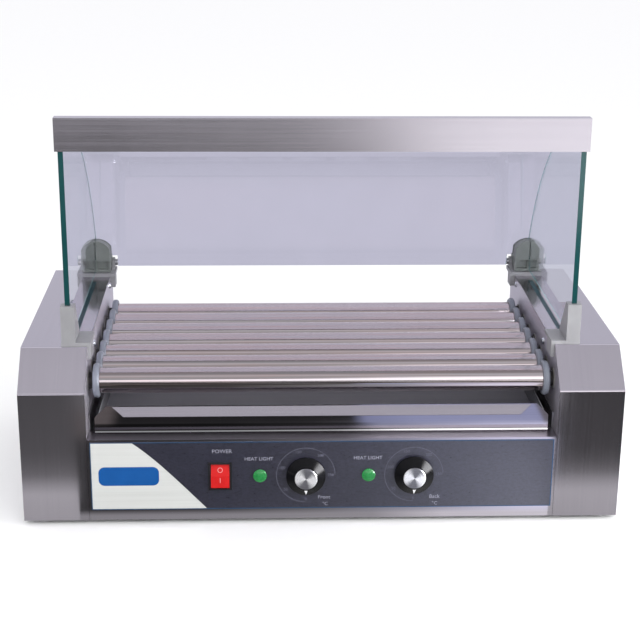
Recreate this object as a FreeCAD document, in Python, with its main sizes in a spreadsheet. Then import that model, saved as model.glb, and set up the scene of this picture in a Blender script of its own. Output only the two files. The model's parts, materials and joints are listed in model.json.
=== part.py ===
"""Seven-roller hot dog grill with a hinged glass hood, as a parametric FreeCAD document.

Every driving size is a cell of the sheet "Sizes".  X runs along the rollers, -Y is the front and
+Z is up.  The origin is on the table, below the middle of the object.
"""
import FreeCAD, Part
import math
import os

import Sketcher

doc = FreeCAD.newDocument("RollerGrill")
sheet = doc.addObject("Spreadsheet::Sheet", "Sizes")
driving_names = []
nodes = {}

LEFT = -1
RIGHT = 1
SIDES = {"left": LEFT, "right": RIGHT}


# ---------------------------------------------------------------- sizes and expressions


class Size:
    """A length that carries its value and the sheet expression that it comes from."""

    def __init__(self, value, text):
        self.value = float(value)
        self.text = text

    def __add__(self, other):
        other = as_size(other)
        return Size(self.value + other.value, f"({self.text} + {other.text})")

    def __sub__(self, other):
        other = as_size(other)
        return Size(self.value - other.value, f"({self.text} - {other.text})")

    def __mul__(self, other):
        other = as_size(other)
        return Size(self.value * other.value, f"({self.text} * {other.text})")

    def __truediv__(self, other):
        other = as_size(other)
        return Size(self.value / other.value, f"({self.text} / {other.text})")

    def __radd__(self, other):
        return as_size(other) + self

    def __rsub__(self, other):
        return as_size(other) - self

    def __rmul__(self, other):
        return as_size(other) * self

    def __neg__(self):
        return Size(-self.value, f"(0 - {self.text})")


def as_size(number):
    """A Size, made from a plain number where it isn't one yet."""
    if isinstance(number, Size):
        return number
    return Size(number, f"({number})")


def root(size):
    """The square root of a Size."""
    return Size(math.sqrt(size.value), f"sqrt({size.text})")


def driving(name, value):
    """Write one driving size to the sheet and return it."""
    row = len(driving_names) + 1
    sheet.set(f"A{row}", name)
    sheet.set(f"B{row}", str(value))
    sheet.setAlias(f"B{row}", name)
    driving_names.append(name)
    return Size(value, f"Sizes.{name}")


# The two side housings and the sheet metal between them.
overall_width = driving("overall_width", 580)
housing_width = driving("housing_width", 63.3)
housing_depth = driving("housing_depth", 300)
housing_height = driving("housing_height", 166)
slope_start = driving("slope_start", 131)
slope_run = driving("slope_run", 36)
front_face = driving("front_face", -147.5)
metal = driving("metal_thickness", 1.0)
plate = driving("plate_thickness", 1.2)
bend_radius = driving("bend_radius", 2.5)
panel_height = driving("panel_height", 84)
ledge_depth = driving("ledge_depth", 22)
rear_panel_height = driving("rear_panel_height", 118)
foot_height = driving("foot_height", 5)
foot_radius = driving("foot_radius", 10)

# Rollers, their end discs and bushes, and the heaters inside them.
roller_radius = driving("roller_radius", 12.5)
roller_wall = driving("roller_wall", 1.0)
roller_pitch = driving("roller_pitch", 34)
roller_height = driving("roller_height", 131)
first_roller = driving("first_roller", 38)
tube_half = driving("tube_half_length", 219)
disc_radius = driving("disc_radius", 16.8)
disc_near = driving("disc_near", 215.5)
disc_far = driving("disc_far", 221.5)
journal_radius = driving("journal_radius", 8)
journal_bore = driving("journal_bore", 5.5)
left_journal_end = driving("left_journal_end", 234)
right_journal_end = driving("right_journal_end", 243)
bush_radius = driving("bush_radius", 10)
bush_flange_radius = driving("bush_flange_radius", 13)
heater_radius = driving("heater_radius", 4)
heater_half = driving("heater_half_length", 258)

# Chain drive.
chain_pitch = driving("chain_pitch", 6.35)
chain_barrel_radius = driving("chain_barrel_radius", 1.65)
chain_plane = driving("chain_plane", 238)
tooth_width = driving("tooth_width", 2.8)
drive_back = driving("drive_sprocket_back", 150)
drive_up = driving("drive_sprocket_up", 50)

# Glass hood and the fittings that carry it.
hood_radius = driving("hood_radius", 310)
hood_centre_back = driving("hood_centre_back", 3)
hood_centre_up = driving("hood_centre_up", 78)
glass = driving("glass_thickness", 5)
curved_glass = driving("curved_glass_thickness", 4)
glass_centre = driving("side_glass_centre", 244.3)
glass_front = driving("glass_front", 42)
glass_bottom = driving("glass_bottom", 172)
band_half = driving("band_half_length", 249.6)
band_front = driving("band_front", 40)
band_depth = driving("band_depth", 11)
band_bottom = driving("band_bottom", 355.7)
band_top = driving("band_top", 387.1)
hinge_back = driving("hinge_back", 296)
hinge_up = driving("hinge_up", 176)
pin_radius = driving("hinge_pin_radius", 2)
running_clearance = driving("running_clearance", 0.05)

# Controls on the front panel.
control_up = driving("control_up", 46)
switch_across = driving("switch_across", -99.4)
front_lamp_across = driving("front_lamp_across", -61)
back_lamp_across = driving("back_lamp_across", 44.4)
front_knob_across = driving("front_knob_across", -16.6)
back_knob_across = driving("back_knob_across", 88.4)
knob_radius = driving("knob_radius", 19)
knob_depth = driving("knob_depth", 11)
film = driving("overlay_thickness", 0.4)

# Drip tray.
tray_half = driving("tray_half_width", 216)
tray_front = driving("tray_front", 16)
tray_back = driving("tray_back", 286)
tray_wall_top = driving("tray_wall_top", 105)
tray_plate_top = driving("tray_plate_top", 112.5)
tray_gap = driving("tray_gap", 0.4)

ROLLER_COUNT = 7
ROLLER_TEETH = 14
DRIVE_TEETH = 10

inner_wall = overall_width / 2 - housing_width
half_width = overall_width / 2


def back(distance):
    """Y of a point that lies this far behind the housings' front faces."""
    return front_face + distance


def up(height):
    """Z of a point that lies this far above the housings' undersides."""
    return foot_height + height


def roller_back(index):
    """How far behind the front faces the roller's axis lies."""
    return first_roller + roller_pitch * index


# ---------------------------------------------------------------- building blocks


def number(size):
    return as_size(size).value


def bind(item, path, size):
    """Set one property from a Size, and bind it to the sheet."""
    item.setExpression(path, as_size(size).text)


def place(item, corner):
    """Move an object to a point whose coordinates are bound to the sheet."""
    rotation = item.Placement.Rotation
    base = FreeCAD.Vector(*[number(value) for value in corner])
    item.Placement = FreeCAD.Placement(base, rotation)
    for letter, value in zip("xyz", corner):
        if isinstance(value, Size):
            bind(item, f"Placement.Base.{letter}", value)
    return item


def box(name, corner, lengths):
    """A block from its lowest corner and its three edge lengths."""
    item = doc.addObject("Part::Box", name)
    for path, value in zip(("Length", "Width", "Height"), lengths):
        bind(item, path, value)
    return place(item, corner)


TURN_TO = {
    "x": FreeCAD.Rotation(FreeCAD.Vector(0, 1, 0), 90),
    "y": FreeCAD.Rotation(FreeCAD.Vector(1, 0, 0), -90),
    "z": FreeCAD.Rotation(),
}


def cylinder(name, start, axis, radius, length):
    """A round bar that starts at a point and runs along +x, +y or +z."""
    item = doc.addObject("Part::Cylinder", name)
    bind(item, "Radius", radius)
    bind(item, "Height", length)
    item.Placement = FreeCAD.Placement(FreeCAD.Vector(), TURN_TO[axis])
    return place(item, start)


def cone(name, start, axis, near_radius, far_radius, length):
    """A tapered bar that starts at a point and runs along +x, +y or +z."""
    item = doc.addObject("Part::Cone", name)
    bind(item, "Radius1", near_radius)
    bind(item, "Radius2", far_radius)
    bind(item, "Height", length)
    item.Placement = FreeCAD.Placement(FreeCAD.Vector(), TURN_TO[axis])
    return place(item, start)


def fuse(name, *pieces):
    item = doc.addObject("Part::MultiFuse", name)
    item.Shapes = list(pieces)
    return item


def group(name, *pieces):
    """Separate solids that share one node."""
    item = doc.addObject("Part::Compound", name)
    item.Links = list(pieces)
    return item


def cut(name, base, *tools):
    item = doc.addObject("Part::Cut", name)
    item.Base = base
    item.Tool = tools[0] if len(tools) == 1 else group(name + "_tools", *tools)
    return item


def common(name, first, second):
    item = doc.addObject("Part::Common", name)
    item.Base = first
    item.Tool = second
    return item


def span(side, near, far):
    """Lowest X and length of a stretch between two distances from the middle plane."""
    low = near if side == RIGHT else -far
    return low, far - near


def side_box(name, side, across, along, upwards):
    """A block given by its distances from the middle, the front and the underside."""
    low, width = span(side, across[0], across[1])
    corner = (low, back(along[0]), up(upwards[0]))
    return box(name, corner, (width, along[1] - along[0], upwards[1] - upwards[0]))


def origin_plane(body, role):
    return next(item for item in body.Origin.OriginFeatures if item.Role == role)


def draw(body, plane, corners, circles=()):
    """A closed sketch on an origin plane, with every corner bound to the sheet.

    A corner is (u, v), or (u, v, radius) where the edge that leaves it is an arc of that radius,
    with its centre on the left of the way round, or on the right where the radius is negative.
    """
    sketch = body.newObject("Sketcher::SketchObject", body.Label + "_sketch")
    sketch.AttachmentSupport = [(origin_plane(body, plane), "")]
    sketch.MapMode = "FlatFace"
    points = [FreeCAD.Vector(number(corner[0]), number(corner[1]), 0) for corner in corners]
    ends = []
    for index, corner in enumerate(corners):
        start = points[index]
        stop = points[(index + 1) % len(points)]
        if len(corner) == 2:
            edge = sketch.addGeometry(Part.LineSegment(start, stop), False)
            ends.append((edge, 1, 2))
            continue
        radius = abs(number(corner[2]))
        turn = 1 if number(corner[2]) > 0 else -1
        chord = stop - start
        rise = math.sqrt(max(radius ** 2 - (chord.Length / 2) ** 2, 0))
        left = FreeCAD.Vector(-chord.y, chord.x, 0).normalize()
        centre = (start + stop) * 0.5 + left * rise * turn
        first, last = (start, stop) if turn > 0 else (stop, start)
        angles = [math.atan2(point.y - centre.y, point.x - centre.x) for point in (first, last)]
        circle = Part.Circle(centre, FreeCAD.Vector(0, 0, 1), radius)
        edge = sketch.addGeometry(Part.ArcOfCircle(circle, angles[0], angles[1]), False)
        ends.append((edge, 1, 2) if turn > 0 else (edge, 2, 1))
        bound = sketch.addConstraint(Sketcher.Constraint("Radius", edge, radius))
        length = corner[2] if turn > 0 else -corner[2]
        bind(sketch, f"Constraints[{bound}]", length)
    for index, corner in enumerate(corners):
        edge, start_end, _ = ends[index]
        before, _, stop_end = ends[index - 1]
        sketch.addConstraint(Sketcher.Constraint("Coincident", before, stop_end, edge, start_end))
        for kind, value in (("DistanceX", corner[0]), ("DistanceY", corner[1])):
            bound = sketch.addConstraint(
                Sketcher.Constraint(kind, -1, 1, edge, start_end, number(value)))
            if isinstance(value, Size):
                bind(sketch, f"Constraints[{bound}]", value)
    for across, height, radius in circles:
        centre = FreeCAD.Vector(number(across), number(height), 0)
        ring = sketch.addGeometry(
            Part.Circle(centre, FreeCAD.Vector(0, 0, 1), number(radius)), False)
        rows = (("DistanceX", across), ("DistanceY", height))
        for kind, value in rows:
            bound = sketch.addConstraint(Sketcher.Constraint(kind, -1, 1, ring, 3, number(value)))
            if isinstance(value, Size):
                bind(sketch, f"Constraints[{bound}]", value)
        bound = sketch.addConstraint(Sketcher.Constraint("Radius", ring, number(radius)))
        bind(sketch, f"Constraints[{bound}]", radius)
    return sketch


def prism(name, plane, corners, length, offset=None, circles=()):
    """A padded outline: YZ outlines grow along +X, XY ones along +Z and XZ ones along +Y."""
    body = doc.addObject("PartDesign::Body", name)
    sketch = draw(body, plane + "_Plane", corners, circles)
    pad = body.newObject("PartDesign::Pad", name + "_pad")
    pad.Profile = sketch
    pad.Reversed = plane == "XZ"
    bind(pad, "Length", length)
    place(body, offset or (0, 0, 0))
    return body


def turned(name, plane, corners, axis, offset):
    """A revolved outline, turned round the sketch's own horizontal or vertical axis."""
    body = doc.addObject("PartDesign::Body", name)
    sketch = draw(body, plane + "_Plane", corners)
    turn = body.newObject("PartDesign::Revolution", name + "_turn")
    turn.Profile = sketch
    turn.ReferenceAxis = (sketch, [axis])
    turn.Angle = 360
    return place(body, offset)


def edges_where(feature, test):
    """Names of the straight edges whose middle point passes a test."""
    names = []
    for index, edge in enumerate(feature.Shape.Edges, start=1):
        middle = (edge.Vertexes[0].Point + edge.Vertexes[-1].Point) * 0.5
        if edge.Curve.TypeId == "Part::GeomLine" and test(edge, middle):
            names.append(f"Edge{index}")
    return names


def keep(name, item):
    """Make an object one of the nodes that are written."""
    item.Label = name
    nodes[name] = item
    return item


# ---------------------------------------------------------------- chassis


def profile_factor():
    """How far a corner of an inset outline moves per unit of inset, at the slope's two bends."""
    rise = number(housing_height - slope_start)
    turn = math.atan2(number(slope_run), rise)
    return math.tan(turn / 2), math.tan((math.pi / 2 - turn) / 2)


def housing_outline(inset, bottom):
    """Side view of a housing: upright front, slope, flat top and upright back."""
    low_factor, high_factor = profile_factor()
    return [
        (back(0) + inset, up(bottom)),
        (back(housing_depth) - inset, up(bottom)),
        (back(housing_depth) - inset, up(housing_height) - inset),
        (back(slope_run) + inset * high_factor, up(housing_height) - inset),
        (back(0) + inset, up(slope_start) - inset * low_factor),
    ]


def screw(name, head_centre, axis, away, head_radius=3.4, head_height=2.0, length=7):
    """A pan-head screw: its head lies on the side that away (+1 or -1) points to."""
    x, y, z = head_centre
    step = {"x": (1, 0, 0), "y": (0, 1, 0), "z": (0, 0, 1)}[axis]
    head_shift = 0 if away > 0 else -head_height
    shank_shift = -length if away > 0 else 0
    head_start = [value + head_shift * unit for value, unit in zip((x, y, z), step)]
    shank_start = [value + shank_shift * unit for value, unit in zip((x, y, z), step)]
    low, high = (head_radius, head_radius * 0.72) if away > 0 else (head_radius * 0.72, head_radius)
    head = cone(name + "_head", head_start, axis, low, high, head_height)
    shank = cylinder(name + "_shank", shank_start, axis, SCREW_RADIUS, length)
    return fuse(name, head, shank)


SCREW_RADIUS = 2.0
SCREW_HOLE_RADIUS = 2.2
INNER_SCREWS = ((92, 150.5), (262, 158.5), (286, 24))
OUTER_SCREWS = ((30, 8), (150, 8), (270, 8))
REAR_SCREWS = ((-214, 14), (214, 14), (-214, 104), (214, 104))
FOOT_PLACES = ((-262, 24), (262, 24), (-262, 276), (262, 276))


def make_housing_cover(side_name):
    """The folded cover of one side: front, slope, top, back and outer wall in one sheet."""
    side = SIDES[side_name]
    name = side_name + "_housing_cover"
    low, width = span(side, inner_wall, half_width)
    body = prism(name + "_sheet", "YZ", housing_outline(0, 0), width, (low, 0, 0))
    doc.recompute()
    pad = body.Tip

    def is_bend(edge, middle):
        along_x = abs(edge.Vertexes[0].X - edge.Vertexes[-1].X) > 1
        return along_x and middle.z > number(up(slope_start)) - 1

    fillet = body.newObject("PartDesign::Fillet", name + "_bends")
    fillet.Base = (pad, edges_where(pad, is_bend))
    bind(fillet, "Radius", bend_radius)
    doc.recompute()
    open_faces = []
    for index, face in enumerate(fillet.Shape.Faces, start=1):
        normal = face.normalAt(0, 0)
        if normal.z < -0.99 or normal.x * side < -0.99:
            open_faces.append(f"Face{index}")
    shell = body.newObject("PartDesign::Thickness", name + "_shell")
    shell.Base = (fillet, open_faces)
    bind(shell, "Value", metal)
    shell.Reversed = True
    doc.recompute()
    outer_start, _ = span(side, half_width - 3, half_width)
    holes = []
    for index, (along, height) in enumerate(OUTER_SCREWS):
        start = (outer_start, back(along), up(height))
        holes.append(cylinder(f"{name}_hole_{index}", start, "x", SCREW_HOLE_RADIUS, 3))
    for index in range(VENT_COUNT):
        corner = (outer_start, back(VENT_START + VENT_STEP * index), up(VENT_LOW))
        holes.append(box(f"{name}_vent_{index}", corner, (3, VENT_WIDTH, VENT_HEIGHT)))
    keep(name, cut(name + "_cut", body, *holes))


VENT_COUNT = 9
VENT_START = 96
VENT_STEP = 13
VENT_LOW = 30
VENT_WIDTH = 4
VENT_HEIGHT = 36


def make_inner_side_plate(side_name):
    """The upright plate that closes a housing and carries one end of every roller."""
    side = SIDES[side_name]
    name = side_name + "_inner_side_plate"
    low, width = span(side, inner_wall, inner_wall + plate)
    circles = [(back(roller_back(index)), up(roller_height), bush_radius + 0.05)
               for index in range(ROLLER_COUNT)]
    circles += [(back(along), up(height), SCREW_HOLE_RADIUS) for along, height in INNER_SCREWS]
    outline = housing_outline(metal + 0.5, plate + 0.1)
    keep(name, prism(name, "YZ", outline, width, (low, 0, 0), circles))


def make_base_pan():
    """The bottom sheet, turned up at both ends, with a hole for every foot screw."""
    clearance = metal + 0.1
    outer = half_width - clearance
    flange = 14
    corners = [
        (-outer, up(0)), (outer, up(0)), (outer, up(flange)), (outer - plate, up(flange)),
        (outer - plate, up(plate)), (-outer + plate, up(plate)),
        (-outer + plate, up(flange)), (-outer, up(flange)),
    ]
    length = housing_depth - clearance * 2
    pan = prism("base_pan_sheet", "XZ", corners, length, (0, back(clearance), 0))
    holes = []
    for index, (across, along) in enumerate(FOOT_PLACES):
        start = (across, back(along), up(-1))
        holes.append(cylinder(f"pan_foot_hole_{index}", start, "z", SCREW_HOLE_RADIUS, 4))
    for index in range(PAN_VENT_COUNT):
        corner = (-PAN_VENT_SPAN / 2 + index * PAN_VENT_STEP, back(190), up(-1))
        holes.append(box(f"pan_vent_{index}", corner, (5, 50, 4)))
    for side in SIDES.values():
        for index, (along, height) in enumerate(OUTER_SCREWS):
            start = (span(side, outer - 3, outer + 1)[0], back(along), up(height))
            holes.append(cylinder(f"pan_side_hole_{index}", start, "x", SCREW_HOLE_RADIUS, 4))
    keep("base_pan", cut("base_pan_cut", pan, *holes))


PAN_VENT_COUNT = 13
PAN_VENT_STEP = 14
PAN_VENT_SPAN = PAN_VENT_STEP * (PAN_VENT_COUNT - 1) + 5


def make_rubber_feet():
    """Four rubber feet, each a tapered pad with a recess for its screw head."""
    feet = []
    for index, (across, along) in enumerate(FOOT_PLACES):
        corners = [(0, 2), (4, 2), (4, 0), (foot_radius - 1.5, 0), (foot_radius, foot_height),
                   (0, foot_height)]
        place_at = (across, back(along), 0)
        feet.append(turned(f"foot_{index}", "XZ", corners, "V_Axis", place_at))
    keep("rubber_feet", group("rubber_feet_group", *feet))


def make_control_panel():
    """The front panel: upright face, ledge under the tray, and a stiffening lip behind it."""
    lip = 9
    wall = inner_wall - 0.3
    corners = [
        (back(0), up(0.3)), (back(metal), up(0.3)), (back(metal), up(panel_height - metal)),
        (back(ledge_depth) - metal, up(panel_height - metal)),
        (back(ledge_depth) - metal, up(panel_height - lip)),
        (back(ledge_depth), up(panel_height - lip)), (back(ledge_depth), up(panel_height)),
        (back(0), up(panel_height)),
    ]
    sheet_body = prism("control_panel_sheet", "YZ", corners, wall * 2, (-wall, 0, 0))
    keep("control_panel", cut("control_panel_cut", sheet_body, *control_holes("panel", -1, 3)))


SWITCH_BEZEL = (22.6, 28.5)
SWITCH_BODY = (21, 27)
LAMP_BARREL_RADIUS = 5
LAMP_LENS_RADIUS = 6.6
SHAFT_RADIUS = 3
SHAFT_HOLE_RADIUS = 4.2


def control_holes(prefix, start, length):
    """Tools that open a front sheet for the switch, the two lamps and the two shafts."""
    width = SWITCH_BODY[0] + 0.4
    height = SWITCH_BODY[1] + 0.4
    corner = (switch_across - width / 2, back(start), up(control_up) - height / 2)
    tools = [box(prefix + "_switch_hole", corner, (width, length, height))]
    for index, across in enumerate((front_lamp_across, back_lamp_across)):
        start_at = (across, back(start), up(control_up))
        radius = LAMP_BARREL_RADIUS + 0.2
        tools.append(cylinder(f"{prefix}_lamp_hole_{index}", start_at, "y", radius, length))
    for index, across in enumerate((front_knob_across, back_knob_across)):
        start_at = (across, back(start), up(control_up))
        tools.append(
            cylinder(f"{prefix}_shaft_hole_{index}", start_at, "y", SHAFT_HOLE_RADIUS, length))
    return tools


def make_panel_overlay():
    """The thin printed film on the panel's face."""
    film_half = 224
    low, high = 11, 81.6
    corner = (-film_half, back(-film), up(low))
    blank = box("overlay_blank", corner, (film_half * 2, film, high - low))
    keep("panel_overlay", cut("overlay_cut", blank, *control_holes("overlay", -2, 3)))


def make_rear_panel():
    """The back sheet with a top flange, cooling slots and the hole of the cord inlet."""
    wall = inner_wall - 0.3
    flange = 12
    corners = [
        (back(housing_depth) - metal, up(0.3)), (back(housing_depth), up(0.3)),
        (back(housing_depth), up(rear_panel_height)),
        (back(housing_depth) - flange, up(rear_panel_height)),
        (back(housing_depth) - flange, up(rear_panel_height - metal)),
        (back(housing_depth) - metal, up(rear_panel_height - metal)),
    ]
    sheet_body = prism("rear_panel_sheet", "YZ", corners, wall * 2, (-wall, 0, 0))
    holes = [cylinder("rear_cord_hole", (CORD_ACROSS, back(housing_depth - 3), up(CORD_UP)),
                      "y", CORD_THREAD_RADIUS + 0.2, 5)]
    for row in range(REAR_SLOT_ROWS):
        for column in range(REAR_SLOT_COLUMNS):
            across = (column - (REAR_SLOT_COLUMNS - 1) / 2) * REAR_SLOT_PITCH
            corner = (across - REAR_SLOT_WIDTH / 2, back(housing_depth - 3), up(44 + row * 10))
            holes.append(box("rear_slot", corner, (REAR_SLOT_WIDTH, 5, 3.5)))
    for across, height in REAR_SCREWS:
        start = (across, back(housing_depth - 3), up(height))
        holes.append(cylinder("rear_screw_hole", start, "y", SCREW_HOLE_RADIUS, 5))
    keep("rear_panel", cut("rear_panel_cut", sheet_body, *holes))


REAR_SLOT_ROWS = 5
REAR_SLOT_COLUMNS = 5
REAR_SLOT_PITCH = 52
REAR_SLOT_WIDTH = 40
CORD_ACROSS = 176
CORD_UP = 26
CORD_THREAD_RADIUS = 8
CORD_BORE_RADIUS = 3.8


def make_cord_gland():
    """The strain relief in the back panel that the mains cord passes through."""
    rear = housing_depth
    barrel = cylinder("gland_thread", (CORD_ACROSS, back(rear - 10), up(CORD_UP)), "y",
                      CORD_THREAD_RADIUS, 10)
    collar = cylinder("gland_collar", (CORD_ACROSS, back(rear), up(CORD_UP)), "y", 11, 3.5)
    cap = cone("gland_cap", (CORD_ACROSS, back(rear + 3.5), up(CORD_UP)), "y", 9.6, 6.6, 8.5)
    nut = cylinder("gland_nut", (CORD_ACROSS, back(rear - 5), up(CORD_UP)), "y", 11.5, 3.8)
    bore = cylinder("gland_bore", (CORD_ACROSS, back(rear - 11), up(CORD_UP)), "y",
                    CORD_BORE_RADIUS, 25)
    keep("cord_gland", cut("gland_cut", fuse("gland_body", barrel, collar, cap, nut), bore))


def make_tray_guide_rails():
    """Two angle rails on the inner walls that the drip tray slides on."""
    rails = []
    for side_name, side in SIDES.items():
        start, width = span(side, 206, inner_wall - 0.2)
        foot = box(side_name + "_rail_foot", (start, back(ledge_depth + 1), up(panel_height - plate)),
                   (width, 264, plate))
        start, width = span(side, inner_wall - 0.2 - plate, inner_wall - 0.2)
        wall = box(side_name + "_rail_wall", (start, back(ledge_depth + 1), up(panel_height - plate)),
                   (width, 264, 18))
        rails.append(fuse(side_name + "_rail", foot, wall))
    keep("tray_guide_rails", group("tray_guide_rail_group", *rails))


def make_housing_screws():
    """Every pan-head screw that holds the sheets together."""
    screws = []
    for side in SIDES.values():
        for along, height in INNER_SCREWS:
            spot = (inner_wall * side, back(along), up(height))
            screws.append(screw("inner_screw", spot, "x", -side))
        for along, height in OUTER_SCREWS:
            spot = (half_width * side, back(along), up(height))
            screws.append(screw("outer_screw", spot, "x", side, 3.4, OUTER_HEAD, 6))
    for across, height in REAR_SCREWS:
        spot = (across, back(housing_depth), up(height))
        screws.append(screw("rear_screw", spot, "y", 1))
    keep("housing_screws", group("housing_screw_group", *screws))


OUTER_HEAD = 1.6


# ---------------------------------------------------------------- rollers and drive


def sprocket(name, teeth, bore, offset):
    """A toothed disc across the X axis, cut one gap at a time round a circle."""
    pitch_line = chain_pitch / (2 * math.sin(math.pi / teeth))
    tip = pitch_line + 1.5
    seat = chain_barrel_radius + 0.05
    body = doc.addObject("PartDesign::Body", name)
    disc = draw(body, "YZ_Plane", [], [(0, 0, tip), (0, 0, bore)])
    pad = body.newObject("PartDesign::Pad", name + "_disc")
    pad.Profile = disc
    bind(pad, "Length", tooth_width)
    doc.recompute()
    full_volume = pad.Shape.Volume
    mouth = seat * 0.96
    floor_line = pitch_line - seat * 0.28
    corners = [(-mouth, floor_line, seat), (mouth, floor_line), (seat + 0.9, tip + 1),
               (-seat - 0.9, tip + 1)]
    gap = draw(body, "YZ_Plane", corners)
    pocket = body.newObject("PartDesign::Pocket", name + "_gap")
    pocket.Profile = gap
    pocket.Type = "ThroughAll"
    pocket.Reversed = True
    pattern = body.newObject("PartDesign::PolarPattern", name + "_teeth")
    pattern.Originals = [pocket]
    pattern.Axis = (origin_plane(body, "X_Axis"), [""])
    pattern.Angle = 360
    pattern.Occurrences = teeth
    body.Tip = pattern
    doc.recompute()
    if not body.Shape.Volume < full_volume:
        raise RuntimeError(name + ": the tooth gap cut nothing")
    return place(body, offset)


def make_roller(index):
    """One heated roller: a welded tube with end journals and its sprocket, and two end discs."""
    name = f"roller_{index + 1}"
    axis_y = back(roller_back(index))
    axis_z = up(roller_height)
    plug = 8
    inner = roller_radius - roller_wall
    corners = [
        (-left_journal_end, journal_bore), (-tube_half + plug, journal_bore),
        (-tube_half + plug, inner), (tube_half - plug, inner), (tube_half - plug, journal_bore),
        (right_journal_end, journal_bore), (right_journal_end, journal_radius),
        (tube_half, journal_radius), (tube_half, roller_radius), (-tube_half, roller_radius),
        (-tube_half, journal_radius), (-left_journal_end, journal_radius),
    ]
    tube = turned(name + "_tube", "XY", corners, "H_Axis", (0, axis_y, axis_z))
    wheel = sprocket(name + "_sprocket", ROLLER_TEETH, journal_radius - 0.5,
                     (chain_plane - tooth_width / 2, axis_y, axis_z))
    keep(name, fuse(name + "_weldment", tube, wheel))
    discs = []
    edge = 1.4
    for side_name, side in SIDES.items():
        near, far = (disc_near * side, disc_far * side)
        step = tube_half * side + 0.02 * side
        edge_shift = edge * side
        corners = [
            (near, roller_radius + 0.02), (step, roller_radius + 0.02),
            (step, journal_radius + 0.02), (far, journal_radius + 0.02),
            (far, disc_radius - edge), (far - edge_shift, disc_radius),
            (near + edge_shift, disc_radius), (near, disc_radius - edge),
        ]
        discs.append(turned(f"{name}_{side_name}_disc", "XY", corners, "H_Axis", (0, axis_y, axis_z)))
    keep(name + "_end_discs", group(name + "_disc_pair", *discs))


def make_roller_bushes():
    """Flanged bushes in both side plates, one for every journal."""
    bushes = []
    running_bore = journal_radius + running_clearance
    for side_name, side in SIDES.items():
        inside = (inner_wall - 0.6) * side
        face = (inner_wall + plate) * side
        flange = (inner_wall + plate + 1.5) * side
        far = (inner_wall + plate + 3) * side
        for index in range(ROLLER_COUNT):
            corners = [
                (inside, running_bore), (far, running_bore), (far, bush_radius),
                (flange, bush_radius), (flange, bush_flange_radius), (face, bush_flange_radius),
                (face, bush_radius), (inside, bush_radius),
            ]
            place_at = (0, back(roller_back(index)), up(roller_height))
            bushes.append(turned(f"{side_name}_bush_{index}", "XY", corners, "H_Axis", place_at))
    keep("roller_bushes", group("roller_bush_group", *bushes))


def make_heating_elements():
    """One tubular heater through every roller, with a terminal pin at each end."""
    heaters = []
    for index in range(ROLLER_COUNT):
        axis_y = back(roller_back(index))
        axis_z = up(roller_height)
        pin = 8
        rod = cylinder("heater_rod", (-heater_half, axis_y, axis_z), "x", heater_radius,
                       heater_half * 2)
        pins = cylinder("heater_pins", (-heater_half - pin, axis_y, axis_z), "x", 1.5,
                        heater_half * 2 + pin * 2)
        heaters.append(fuse(f"heater_{index}", rod, pins))
    keep("heating_elements", group("heating_element_group", *heaters))


def make_heater_brackets():
    """A folded strip in each housing that holds the heaters still while the tubes turn."""
    brackets = []
    strip_front, strip_back = 31, 256
    low, high = 118, 156
    for side_name, side in SIDES.items():
        start, width = span(side, 249, 249 + plate)
        circles = [(back(roller_back(index)), up(roller_height), heater_radius + 0.1)
                   for index in range(ROLLER_COUNT)]
        corners = [(back(strip_front), up(low)), (back(strip_back), up(low)),
                   (back(strip_back), up(high)), (back(strip_front), up(high))]
        strip = prism(side_name + "_heater_strip", "YZ", corners, width, (start, 0, 0), circles)
        start, width = span(side, inner_wall + plate + 0.1, 249 + plate)
        shelf = box(side_name + "_heater_shelf", (start, back(strip_front), up(high)),
                    (width, strip_back - strip_front, plate))
        brackets.append(fuse(side_name + "_heater_bracket", strip, shelf))
    keep("heater_brackets", group("heater_bracket_group", *brackets))


def make_gear_motor():
    """The gear motor in the right housing, with the boss that its shaft turns in."""
    face_x = 247.6
    centre = (face_x, back(drive_back), up(drive_up))
    case = cylinder("motor_case", centre, "x", 30, 38)
    ring = cylinder("motor_ring", centre, "x", 31, 3)
    boss = cylinder("motor_boss", (face_x - 4, back(drive_back), up(drive_up)), "x", 7, 6)
    bore = cylinder("motor_bore", (face_x - 5, back(drive_back), up(drive_up)), "x",
                    3.5 + running_clearance, 19)
    box_low = up(drive_up) - 11
    terminal = box("motor_terminal", (face_x + 14, back(drive_back) + 26, box_low), (18, 12, 22))
    keep("gear_motor", cut("gear_motor_cut", fuse("gear_motor_body", case, ring, boss, terminal),
                           bore))


def make_motor_bracket():
    """The folded bracket between the base pan and the gear motor."""
    low_x = 245.8
    half = 42
    wall = box("bracket_wall", (low_x, back(drive_back) - half, up(plate + 0.1)),
               (plate, half * 2, 86))
    foot = box("bracket_foot", (low_x, back(drive_back) - half, up(plate + 0.1)),
               (34, half * 2, plate))
    hole = cylinder("bracket_hole", (low_x - 1, back(drive_back), up(drive_up)), "x", 7.3, 4)
    keep("motor_bracket", cut("motor_bracket_cut", fuse("motor_bracket_body", wall, foot), hole))


def make_drive_sprocket():
    """The small sprocket on the motor's shaft."""
    spot = (chain_plane - tooth_width / 2, back(drive_back), up(drive_up))
    wheel = sprocket("drive_wheel", DRIVE_TEETH, 3, spot)
    shaft = cylinder("drive_shaft", (chain_plane - 6, back(drive_back), up(drive_up)), "x", 3.5, 26)
    hub = cylinder("drive_hub", (chain_plane - 6, back(drive_back), up(drive_up)), "x", 6.5, 5)
    keep("drive_sprocket", fuse("drive_sprocket_body", wheel, shaft, hub))


def pitch_radius_of(teeth):
    return number(chain_pitch) / (2 * math.sin(math.pi / teeth))


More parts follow.
